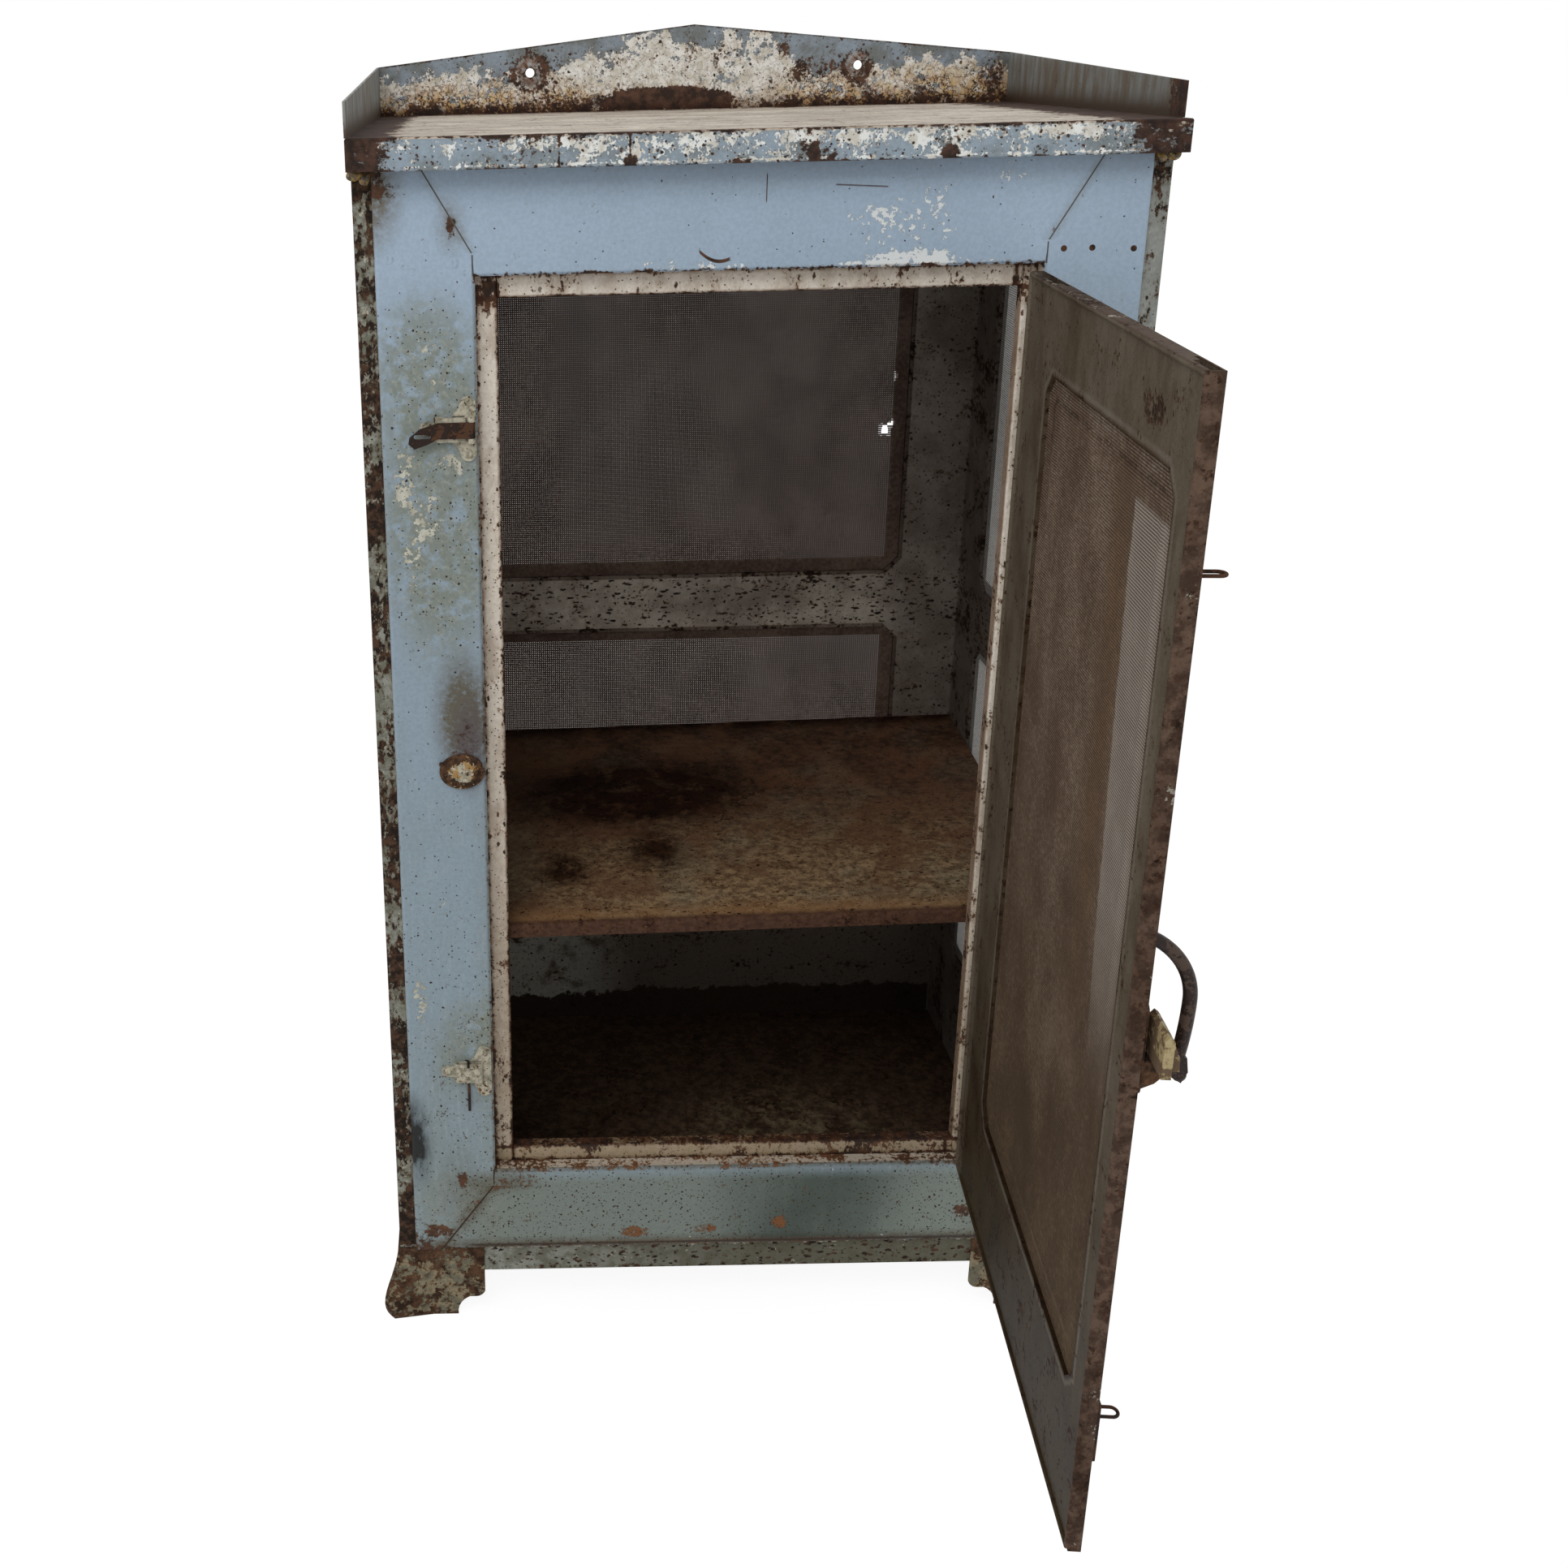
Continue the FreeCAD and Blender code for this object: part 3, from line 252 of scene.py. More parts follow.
def veins(s, size, width, shift=0.0):
    """Thin winding lines, where a cloudy pattern crosses its middle value."""
    return abs(s.noise(size, 5.0, 0.6, shift=shift) - 0.5).below(width * 0.5, width)


def window_edge(across, half_width, up, low, high):
    """How far a place lies outside a window with cut corners, in metres."""
    rise = abs(up - (low + high) / 2)
    half_height = (high - low) / 2
    past = (across - half_width).most(rise - half_height)
    return past.most((across + rise - (half_width + half_height - WINDOW_CORNER)) * math.sqrt(0.5))


def paint_job(s, top, under, bare, thin, worn, spots=None, stain=None, rough=0.62, grain=0.0016,
              relief=None, shine=0.25, mottle=0.3):
    """Bare metal under an old coat under the last coat.

    thin and worn are flake heights: past 0.7 the last coat, or both coats, are gone. Round spots
    are gone to the metal too. Paint just short of the limit is stained by the rust beside it.
    """
    lost_all = worn.step(0.7, 0.712)
    halo = worn.step(0.645, 0.7) * 0.65
    if spots is not None:
        lost_all = lost_all.most(spots)
    tone = s.noise(0.0032, 6.0, 0.7, shift=1.7).step(0.38, 0.62)
    colour = s.mix(tone * mottle, top, (0.58, 0.56, 0.52), "MULTIPLY")
    lost_top = lost_all
    if thin is not None:
        lost_top = thin.step(0.7, 0.708)
        # a darker line round each chip of the last coat: painted shadow of the coat's edge
        edge = thin.step(0.676, 0.7) * 0.4
        colour = s.mix(edge, colour, (0.55, 0.51, 0.45), "MULTIPLY")
        colour = s.mix(lost_top, colour, under)
    colour = s.mix(halo, colour, (0.5, 0.37, 0.27), "MULTIPLY")
    colour = s.mix(lost_all, colour, bare)
    if stain is not None:
        colour = s.mix(stain[0], colour, stain[1], "MULTIPLY")
    fine = s.noise(grain, 5.0, 0.6)
    roughness = rough + 0.22 * lost_all + 0.16 * (fine - 0.5)
    coats = (1.0 - lost_top) * 0.45 + (1.0 - lost_all) * 0.55
    height = coats + fine * (0.12 + 0.6 * lost_all)
    if relief is not None:
        height = height + relief
    bump = s.node("ShaderNodeBump", {}, {"Strength": 0.6, "Distance": 0.0006, "Height": height})
    s.feed(Base_Color=colour, Roughness=roughness, Normal=bump, Specular_IOR_Level=shine)
    return s.material


# ------------------------------------------------------------------ finishes

def face_seams(s):
    """The mitred seams, first straight off the opening's corner and then slanted: lines, borders."""
    across = abs(s.x)
    above = s.z.step(1.0165, 1.018)
    under = s.z.below(0.1507, 0.1522)
    upper = abs(across - (0.224 + (s.z - 1.018) * 0.5862)) * 0.863 + (1.0 - above)
    lower = abs(across - (0.224 + (0.1507 - s.z) * 0.7113)) * 0.815 + (1.0 - under)
    beside = s.z.step(0.169, 0.17) * s.z.below(0.999, 1.0)
    short = abs(across - 0.2235) + above + under + beside
    line = upper.below(0.0003, 0.0008).most(lower.below(0.0005, 0.0012))
    line = line.most(short.below(0.0003, 0.0008))
    border = upper.below(0.001, 0.007) * 0.45 + lower.below(0.001, 0.012)
    return line, border


def face_marks(s):
    """A curled scratch, a long scratch and a hairline in the top rail."""
    along = (s.x + 0.0308) * 83.0
    curl = abs(s.z - 1.0072 - 0.0045 * along * along).step(0.001, 0.0018)
    curl = (1.0 - curl) * abs(s.x + 0.035).below(0.011, 0.013)
    slant = abs(s.z - 1.062 + (s.x - 0.076) * 0.06).step(0.0003, 0.0009)
    slant = (1.0 - slant) * abs(s.x - 0.077).below(0.019, 0.021)
    hair = abs(s.x - 0.004).below(0.0002, 0.0006) * abs(s.z - 1.062).below(0.009, 0.012)
    return s.total([curl, 0.8 * slant, hair])


def face_finish(s):
    """Blue coat, lighter at the top rail as painted light from above, and darker, greener and dirtier to the
    bottom, partly as painted shade, with flakes, pits, seams and burnt spots.
    """
    low = s.z.below(0.16, 0.8)
    wide = abs(s.x)
    sill = s.z.below(0.15, 0.172) * wide.below(0.235, 0.27)
    # lighter blue at the top rail: painted light from above; darker to the bottom: partly painted shade,
    # partly dirt and greening
    top = s.mix(s.z.step(0.88, 1.04), (0.29, 0.37, 0.445), (0.365, 0.465, 0.58))
    top = s.mix(low * 0.8, top, (0.262, 0.33, 0.365))
    # the bottom rail: darker in a band right of its middle and lighter to both sides; by the door the lighter
    # end is a painted reflection
    dusk = abs(s.x - 0.078).below(0.02, 0.125)
    rail = s.mix(dusk, (0.2, 0.232, 0.21), (0.062, 0.082, 0.069))
    top = s.mix(sill, top, rail)
    cloud = s.noise(0.1, 4.0, 0.6, stretch=(1, 1, 0.45)).step(0.42, 0.7)
    top = s.mix(cloud * (0.1 + 0.35 * low), top, (0.205, 0.235, 0.205))
    brushed = s.noise(0.0045, 4.0, 0.6, stretch=(1, 1, 0.16), shift=5.0).step(0.5, 0.72)
    top = s.mix(brushed * (0.08 + 0.3 * low) * (1.0 - sill), top, (0.4, 0.465, 0.49))
    olive = s.blots([
        (0.9, -0.262, 0.925, 0.056, 0.08), (1.0, -0.256, 0.8, 0.062, 0.16),
        (0.8, -0.235, 0.3, 0.05, 0.07), (0.5, -0.27, 0.13, 0.045, 0.05)])
    olive = (olive + 0.4 * s.near(wide, 0.226, 0.016) * low).clamped()
    dull = (olive * s.noise(0.012, 6.0, 0.7, shift=2.0).step(0.34, 0.54) * 0.85).clamped()
    top = s.mix(dull, top, (0.205, 0.225, 0.18))
    pale = (olive * s.noise(0.0045, 6.0, 0.7, shift=8.0).step(0.5, 0.64) * 0.6).clamped()
    top = s.mix(pale, top, (0.34, 0.355, 0.3))
    chips = s.blots([
        (0.13, -0.072, 1.006, 0.034, 0.009), (0.13, -0.03, 1.006, 0.03, 0.007),
        (0.135, 0.113, 1.032, 0.066, 0.048), (0.12, 0.12, 1.005, 0.1, 0.009), (0.14, 0.2, 1.07, 0.03, 0.02),
        (0.085, -0.262, 0.8, 0.058, 0.16, 0.8), (0.095, -0.262, 0.935, 0.045, 0.055, 0.8),
        (0.1, -0.284, 0.838, 0.015, 0.034), (0.08, -0.266, 0.806, 0.022, 0.028),
        (0.09, -0.242, 0.85, 0.02, 0.014), (0.09, -0.277, 0.768, 0.016, 0.032),
        (0.12, -0.286, 0.36, 0.01, 0.05), (0.07, -0.272, 0.44, 0.02, 0.03)])
    chips = chips + 0.02 + 0.035 * low + 0.07 * s.near(s.z, 1.003, 0.004) * s.x.step(-0.08, 0.0)
    cream = s.mix(s.noise(0.012).step(0.4, 0.65), (0.56, 0.55, 0.46), (0.4, 0.38, 0.3))
    under = s.mix(s.x.step(0.0, 0.02).most(s.z.step(0.99, 1.0)), cream, (0.72, 0.75, 0.75))
    line, border = face_seams(s)
    opening = s.near(wide, OPENING_HALF, 0.004) * s.z.step(0.16, 0.17) * s.z.below(1.0, 1.004)
    inner = wide.below(OPENING_HALF, OPENING_HALF + 0.002)
    lintel = s.near(s.z, OPENING_TOP, 0.005) * inner
    ledge = s.near(s.z, OPENING_FOOT, 0.005) * inner
    foot = s.near(s.z, FACE_FOOT, 0.007)
    worn = s.total([
        0.035 + 0.035 * low, 0.1 * opening, 0.17 * lintel, 0.12 * ledge, 0.14 * foot,
        0.06 * s.near(wide, FACE_HALF, 0.003), 0.07 * border, s.blots([
            (0.12, -0.236, 0.612, 0.02, 0.06, 0.9), (0.2, -0.253, 0.159, 0.008, 0.016, 0.9),
            (0.26, -0.2395, 1.038, 0.007, 0.014, 0.9), (0.15, -0.092, 0.095, 0.024, 0.009),
            (0.15, -0.022, 0.098, 0.016, 0.008), (0.15, 0.048, 0.102, 0.01, 0.01),
            (0.14, -0.277, 0.1, 0.016, 0.01), (0.15, 0.221, 0.112, 0.014, 0.012),
            (0.1, -0.2, 0.155, 0.03, 0.014), (0.19, -0.298, 1.072, 0.03, 0.026, 0.9),
            (0.12, -0.29, 0.095, 0.015, 0.02)])])
    dots = s.pits(0.0012, 0.05 + 0.25 * low + 0.6 * sill + 0.3 * olive, 4.0)
    dots = dots.most(s.pits(0.002, 0.01 + 0.1 * low + 0.4 * sill + 0.14 * olive, 9.0))
    sole = s.near(s.z, 0.0832, 0.0036) * wide.below(0.24, 0.26)
    spots = s.total([dots, line, face_marks(s), 0.9 * sole]).clamped()
    orange = s.mix(s.blot((-0.04, 0, 0.125), (0.3, 1, 0.08)), rust_colour(s), (0.19, 0.078, 0.03))
    black = s.mix(line * (1.0 - low), (0.03, 0.019, 0.014), (0.085, 0.085, 0.075))
    bare = s.mix((dots + line + sole).clamped(), orange, black)
    # smoke and rust stains: brown round the keeper with a purplish core, black at the burnt spot
    brown = s.total([
        0.8 * ledge, 0.5 * border, 0.7 * s.near(s.z, 0.085, 0.01), 0.35 * opening, s.blots([
            (1.5, -0.24, 0.628, 0.034, 0.08, 0.95), (0.5, -0.24, 1.038, 0.018, 0.032, 0.95),
            (1.2, -0.303, 1.065, 0.036, 0.06, 0.95), (0.6, -0.215, 0.155, 0.05, 0.02, 0.9),
            (0.35, -0.253, 0.15, 0.03, 0.06, 0.9)])])
    ragged = 0.5 + 0.55 * s.noise(0.006, 6.0, 0.7, shift=12.0).step(0.34, 0.58)
    top = s.mix((brown * ragged).clamped(), top, (0.42, 0.3, 0.19), "MULTIPLY")
    core = (1.2 * s.blot((-0.236, 0, 0.603), (0.02, 1, 0.06), 0.85) * ragged).clamped()
    top = s.mix(core * 0.9, top, (0.095, 0.078, 0.082))
    smear = 0.35 + 0.9 * s.noise(0.018, 6.0, 0.7, stretch=(1, 1, 0.4), shift=15.0).step(0.34, 0.58)
    soot = (1.35 * s.blot((-0.2985, 0, 0.2), (0.023, 1, 0.068), 0.98) * smear).clamped()
    top = s.mix(s.y.step(0.0012, 0.0035), top, (0.56, 0.49, 0.4))
    return paint_job(s, top, under, bare, flakes(s, chips, 0.005), flakes(s, worn, 0.004, 21.0), spots,
                     (soot, (0.05, 0.042, 0.04)), rough=0.5, mottle=0.22)


def top_finish(s):
    """Tray top: greyed and stained on top, blue with white flakes on the turned-down front."""
    flat = (s.z - 1.1045).step(0.0, 0.0012)
    front = s.mix(s.noise(0.03, 5.0, 0.65).step(0.4, 0.66), (0.3, 0.37, 0.435), (0.205, 0.24, 0.255))
    dusty = s.mix(s.noise(0.05, 6.0, 0.65, stretch=(0.35, 1, 1)).step(0.38, 0.6), (0.68, 0.61, 0.52),
                  (0.48, 0.415, 0.345))
    streak = s.noise(0.012, 6.0, 0.7, stretch=(0.3, 1, 1)).step(0.5, 0.66)
    dusty = s.mix(0.5 * streak, dusty, (0.2, 0.15, 0.112))
    top = s.mix(flat, front, dusty)
    across = abs(s.x - 0.03).below(0.2, 0.27)
    thin = s.total([0.088, 0.045 * across, 0.07 * s.near(s.z, 1.1, 0.009), -0.07 * flat,
                    0.075 * s.near(s.z, 1.0845, 0.0016), 0.06 * s.noise(0.06).step(0.48, 0.66)])
    right = s.x.step(0.258, 0.292)
    left = s.x.below(-0.3, -0.27)
    brim = s.near(s.z, TOP_HEIGHT, 0.0035) * (s.y + 0.02).below(0.004, 0.012)
    hem = s.near(s.z, 1.0812, 0.0026)
    cracks = s.near(s.x, -0.1565, 0.0022) + 0.8 * s.near(s.x, -0.103, 0.002) + s.blots([
        (1.0, -0.102, 1.086, 0.008, 0.006), (1.0, 0.137, 1.085, 0.01, 0.01),
        (1.0, -0.02, 1.084, 0.012, 0.004), (1.0, 0.035, 1.089, 0.006, 0.01),
        (1.0, 0.205, 1.086, 0.008, 0.008)])
    worn = s.total([
        0.075, 0.2 * right, 0.27 * left, 0.11 * brim, 0.15 * hem, 0.17 * cracks * (1.0 - flat),
        0.03 * flat, 0.1 * flat * s.near(s.x, 0.29, 0.06), 0.09 * flat * s.near(s.y, 0.435, 0.03),
        0.05 * (1.0 - flat) * s.noise(0.05, shift=3.0).step(0.48, 0.64)])
    bare = rust_colour(s, (0.022, 0.013, 0.01), (0.092, 0.049, 0.034), 0.014)
    under = s.mix(s.noise(0.01).step(0.4, 0.6), (0.8, 0.81, 0.78), (0.6, 0.57, 0.5))
    spots = s.pits(0.0013, 0.55 - 0.45 * flat, 2.0).most(s.pits(0.0024, 0.7 - 0.65 * flat, 6.0))
    grime = s.total([0.5 * right * (1.0 - 0.5 * flat), 0.35 * left, 0.5 * hem, 0.4 * brim,
                     0.3 * s.near(s.y, 0.44, 0.04) * flat]).clamped()
    return paint_job(s, top, under, bare, flakes(s, thin, 0.0032), flakes(s, worn, 0.0038, 13.0, (0.8, 1, 1)),
                     spots, (grime, (0.5, 0.39, 0.3)), rough=0.62)


def gallery_finish(s):
    """Blue coat with a long ragged cream loss across the back board, ochre and rust at its foot."""
    side = abs(s.x).step(0.315, 0.3155)
    board = 1.0 - side
    top = s.mix(s.noise(0.03, 6.0, 0.7).step(0.38, 0.62), (0.29, 0.345, 0.405), (0.18, 0.195, 0.19))
    streaks = s.noise(0.012, 5.0, 0.65, stretch=(1, 1, 0.22)).step(0.36, 0.64)
    dull = s.mix(streaks, (0.19, 0.165, 0.13), (0.3, 0.33, 0.335))
    top = s.mix(side, top, s.mix(s.z.below(1.108, 1.128), dull, (0.105, 0.075, 0.052)))
    middle = abs(s.x + 0.005).below(0.06, 0.13)
    reach = s.z - (1.15 + 0.024 * middle) + 0.07 * (s.noise(0.04, 5.0, 0.65, shift=6.0) - 0.5)
    pale = reach.below(-0.014, 0.012) * board
    thin = 0.045 + 0.222 * pale
    low = (s.z + 0.05 * (s.noise(0.03, 5.0, 0.65, shift=2.0) - 0.5)).below(1.112, 1.145)
    ochre = low * (1.0 - middle * 0.75) + 0.5 * s.blot((0.26, 0.44, 1.135), (0.07, 9, 0.03), 0.9)
    yellow = s.mix(s.noise(0.005, 6.0, 0.7, shift=4.0).step(0.4, 0.6), (0.66, 0.47, 0.2), (0.4, 0.19, 0.045))
    mixed = (ochre * s.noise(0.009, 7.0, 0.72).step(0.38, 0.54) * 0.9).clamped()
    cream = s.mix(s.noise(0.012, shift=9.0).step(0.4, 0.66), (0.84, 0.82, 0.77), (0.6, 0.56, 0.47))
    under = s.mix(mixed, cream, yellow)
    dish = s.blots([
        (1.0, -0.164, 1.145, 0.0165, 0.018, 0.35), (1.0, 0.164, 1.145, 0.014, 0.0155, 0.35)], 0.44, 9)
    cloud = s.noise(0.007, 6.0, 0.7, shift=5.0).step(0.42, 0.58)
    rusty = s.mix(cloud, (0.235, 0.15, 0.115), (0.33, 0.33, 0.32))
    top = s.mix(dish, top, rusty)
    ring = s.blots([
        (1.0, -0.164, 1.145, 0.023, 0.023, 0.3), (1.0, 0.164, 1.145, 0.019, 0.019, 0.3)], 0.44, 9) - dish
    slope = abs(s.z - (1.187 - abs(s.x) * 0.1055))
    rim = slope.below(0.0005, 0.0025) * board
    foot = s.near(s.z, 1.106, 0.021) * board * s.noise(0.02, 5.0, 0.65, shift=8.0).step(0.28, 0.5)
    flaked = s.blots([
        (1.0, -0.164, 1.14, 0.042, 0.027, 0.5), (1.0, 0.164, 1.14, 0.034, 0.024, 0.5)], 0.44, 9)
    bared = s.blots([
        (0.3, -0.028, 1.118, 0.08, 0.014, 0.5), (0.12, 0.3, 1.135, 0.018, 0.022),
        (0.12, 0.09, 1.16, 0.01, 0.01), (0.09, 0.12, 1.14, 0.04, 0.02)], 0.44, 9)
    worn = s.total([
        0.085, bared * board, 0.13 * ring, 0.1 * rim, 0.04 * flaked, 0.03 * dish, 0.14 * foot, 0.02 * pale,
        0.22 * s.blot((0.316, 0.005, 1.12), (0.01, 0.032, 0.04)), -0.03 * side])
    crazed = veins(s, 0.0085, 0.03, 3.0) * (pale * 0.3 + ochre * board * 0.65).clamped()
    spots = s.pits(0.0013, 0.35, 5.0).most(s.pits(0.0028, 0.22 * board, 9.0)).most(crazed)
    spots = spots.most(s.pits(0.0042, 0.75 * flaked * (1.0 - dish), 12.0))
    cloud = s.noise(0.012, 6.0, 0.7, shift=3.0).step(0.4, 0.62)
    bare = s.mix(cloud, (0.036, 0.02, 0.014), (0.115, 0.058, 0.036))
    grime = s.total([0.7 * s.near(s.z, TOP_HEIGHT, 0.012), 0.4 * rim, 0.4 * foot,
                     0.5 * s.blot((0.312, 0.44, 1.13), (0.022, 9, 0.03))]).clamped()
    return paint_job(s, top, s.mix(dish, under, rusty), bare, flakes(s, thin, 0.0055),
                     flakes(s, worn, 0.0034, 31.0), spots, (grime, (0.38, 0.29, 0.22)), mottle=0.2)


def post_finish(s):
    """Grey-green coat, pitted black; the left posts are mostly rust."""
    left = s.x.below(-0.02, 0.02)
    rail = s.z.below(0.08, 0.082)
    above = 1.0 - rail
    top = s.mix(s.noise(0.014, 6.0, 0.7).step(0.38, 0.6), (0.3, 0.31, 0.27), (0.165, 0.165, 0.13))
    top = s.mix((1.0 - left) * above * 0.6, top, (0.32, 0.338, 0.33))
    top = s.mix(rail * s.x.step(-0.25, 0.05) * 0.85, top, (0.1, 0.093, 0.062))
    worn = s.total([
        0.045 * rail, above * 0.125, 0.085 * left * above, 0.09 * s.near(s.z, 1.08, 0.05),
        0.1 * s.near(s.z, 0.1, 0.03) * left, 0.1 * s.near(s.z, 0.052, 0.005) * rail])
    dashes = s.pits(0.0026, 1.0, 3.0, (0.6, 1, 1)).most(s.pits(0.002, 1.0, 6.0, (0.6, 0.9, 1)))
    dashes = dashes.most(s.pits(0.0034, 1.0, 2.0, (0.5, 1, 1))) * rail
    spots = (s.pits(0.0022, 0.26, 5.0, (1, 1, 0.55)) * above).most(s.pits(0.0013, 0.2, 8.0)).most(dashes)
    bare = s.mix(s.noise(0.008, 6.0, 0.7).step(0.42, 0.62), (0.018, 0.012, 0.009), (0.082, 0.044, 0.027))
    thin = 0.085 + 0.03 * left * above + 0.12 * s.near(s.z, 0.077, 0.003)
    return paint_job(s, top, (0.44, 0.42, 0.34), bare, flakes(s, thin, 0.0034),
                     flakes(s, worn, 0.005, 17.0, (1, 1, 0.6)), spots, rough=0.7, shine=0.15)


def foot_finish(s):
    """Rust with worn tan and green islands of paint."""
    top = s.mix(s.noise(0.01).step(0.42, 0.58), (0.29, 0.24, 0.155), (0.17, 0.16, 0.115))
    toe = s.near(s.z, 0.0, 0.012) + s.near(s.z, 0.078, 0.02)
    worn = 0.195 + 0.08 * toe - 0.075 * s.blot((-0.262, -0.01, 0.032), (0.035, 0.02, 0.026))
    spots = s.pits(0.0018, 0.25, 3.0)
    bare = s.mix(s.noise(0.014, 7.0, 0.72).step(0.38, 0.62), (0.03, 0.017, 0.011), (0.115, 0.06, 0.034))
    return paint_job(s, top, top, bare, None, flakes(s, worn, 0.0055, 11.0), spots, rough=0.75, shine=0.12)


def stop_finish(s):
    """Cream coat, rubbed on the round edge, browner to the bottom, ribbed on the hinge side."""
    low = s.z.below(0.17, 0.75)
    sill = s.z.below(0.184, 0.186)
    wide = abs(s.x)
    top = s.mix(low * 0.8, (0.76, 0.69, 0.6), (0.43, 0.36, 0.265))
    top = s.mix(sill, top, (0.36, 0.285, 0.185))
    smeared = s.noise(0.02, 6.0, 0.7, stretch=(1, 1, 0.5)).step(0.42, 0.64)
    top = s.mix(0.6 * smeared, top, (0.4, 0.31, 0.23))
    upright = s.near(wide, OPENING_HALF, 0.004) + s.near(wide, 0.2045, 0.0035)
    ribs = (s.near(s.x, 0.2105, 0.0009) + s.near(s.x, 0.2165, 0.0009)) * (1.0 - sill)
    level = s.total([s.near(s.z, OPENING_TOP, 0.005), s.near(s.z, 0.981, 0.003),
                     s.near(s.z, OPENING_FOOT, 0.005), s.near(s.z, 0.184, 0.003)])
    edge = upright + level
    corner = s.blots([(1.0, -0.214, 0.985, 0.013, 0.02), (0.7, 0.214, 0.985, 0.014, 0.03)], 0.014)
    worn = s.total([0.065, 0.04 * low, 0.105 * edge, 0.16 * corner, 0.03 * s.x.step(0.0, 0.1),
                    0.05 * s.noise(0.05, shift=4.0).step(0.5, 0.66)])
    spots = s.pits(0.0012, 0.4 + 0.3 * low, 6.0).most(s.pits(0.0024, 0.2, 2.0, (1, 1, 0.5)))
    ragged = 0.25 + 0.75 * s.noise(0.008, 5.0, 0.7).step(0.32, 0.6)
    grime = ((0.95 * edge + 0.8 * corner + 0.25 * low * (1.0 - sill)).clamped() * ragged).most(ribs * 0.8)
    bare = rust_colour(s, (0.034, 0.018, 0.012), (0.145, 0.066, 0.032), 0.01)
    return paint_job(s, top, top, bare, None, flakes(s, worn, 0.0034, 2.0, (1, 1, 0.7)), spots,
                     (grime, (0.34, 0.22, 0.14)), rough=0.45, relief=0.0 - 1.5 * ribs)


def panel_finish(s):
    """Grey coat in the dark inside, smoked brown, with painted shade round the back windows, painted light on
    the edges round the side windows, and black pits.
    """
    wide = abs(s.x)
    top = s.mix(s.noise(0.05, 6.0, 0.7).step(0.38, 0.64), (0.42, 0.37, 0.31), (0.26, 0.215, 0.178))
    side = wide.step(0.2975, 0.2985)
    darker = (side * 0.75).most(s.x.step(0.19, 0.25) * 0.6)
    top = s.mix(darker, top, (0.075, 0.055, 0.045))
    back = 1.0 - side
    # the outer skin's edges round the side windows are painted near white: painted light standing in for the
    # bright background seen through the side gauze
    painted_light_reveal = wide.step(0.3033, 0.3034) * wide.below(0.3122, 0.3125)
    painted_light_reveal = painted_light_reveal * s.y.step(0.085, 0.086) * s.y.below(0.3575, 0.3585)
    top = s.mix(painted_light_reveal, top, (0.85, 0.85, 0.83))
    # round the back windows, where the gauze lies on the lip: painted shade, and a little wear
    rim = s.total([window_edge(wide, BACK_WINDOW_HALF, s.z, *window).below(0.0035, 0.005)
                   for window in (UPPER_WINDOW, LOWER_WINDOW)])
    rim = (rim * back).clamped()
    middle = s.near(s.z, 0.5875, 0.04).step(0.1, 0.4)
    scrapes = s.pits(0.0028, 0.9 * middle, 8.0, (0.4, 0.45, 1.1))
    scrapes = scrapes.most(s.pits(0.002, 0.9 * middle, 3.0, (0.5, 0.5, 1)))
    spots = s.pits(0.0015, 0.55, 4.0).most(s.pits(0.003, 0.3, 1.0)).most(scrapes)
    worn = s.total([0.09, 0.05 * rim, 0.04 * side, 0.05 * s.noise(0.12).step(0.5, 0.7)])
    bare = rust_colour(s, (0.01, 0.006, 0.005), (0.055, 0.028, 0.016), 0.01)
    # the lowest rail is burnt black below a ragged edge, and palest at the left above it
    left = s.x.below(-0.135, -0.04)
    edge = s.z - 0.104 + 0.008 * left + 0.036 * (s.noise(0.022, 7.0, 0.72) - 0.5)
    lowest = s.z.below(0.185, 0.2) * back * s.y.below(0.432, 0.434)
    burnt = edge.below(-0.0015, 0.0015) * lowest
    palest = left * s.noise(0.03, 5.0, 0.6, shift=2.0).step(0.34, 0.5)
    light = s.mix(palest, (0.13, 0.103, 0.082), (0.37, 0.36, 0.31))
    top = s.mix(lowest, top, s.mix(burnt, light, (0.034, 0.023, 0.017)))
    # brown clouds of smoke, and the painted shade round the back windows
    smoke_and_rim_shade = (s.noise(0.14, 4.0, 0.6).step(0.38, 0.66) * 0.4 * (1.0 - lowest)).most(rim * 0.8)
    smoke_and_rim_shade = smoke_and_rim_shade * (1.0 - painted_light_reveal)
    worn = flakes(s, worn * (1.0 - 0.7 * painted_light_reveal), 0.0046, 5.0, (0.7, 0.7, 1))
    return paint_job(s, top, top, bare, None, worn, spots * (1.0 - painted_light_reveal),
                     (smoke_and_rim_shade.clamped(), (0.2, 0.14, 0.11)), rough=0.6, shine=0.12)


def door_across(s):
    """Place across the door, in metres from the safe's centre line when it is shut."""
    return s.y * 1.00414 + 0.2261


def past_door_window(s, across):
    """How far a place lies outside the door's window, in metres."""
    u0, u1, v0, v1 = DOOR_WINDOW
    return window_edge(abs(across - (u0 + u1) / 2), (u1 - u0) / 2, s.z, v0, v1)


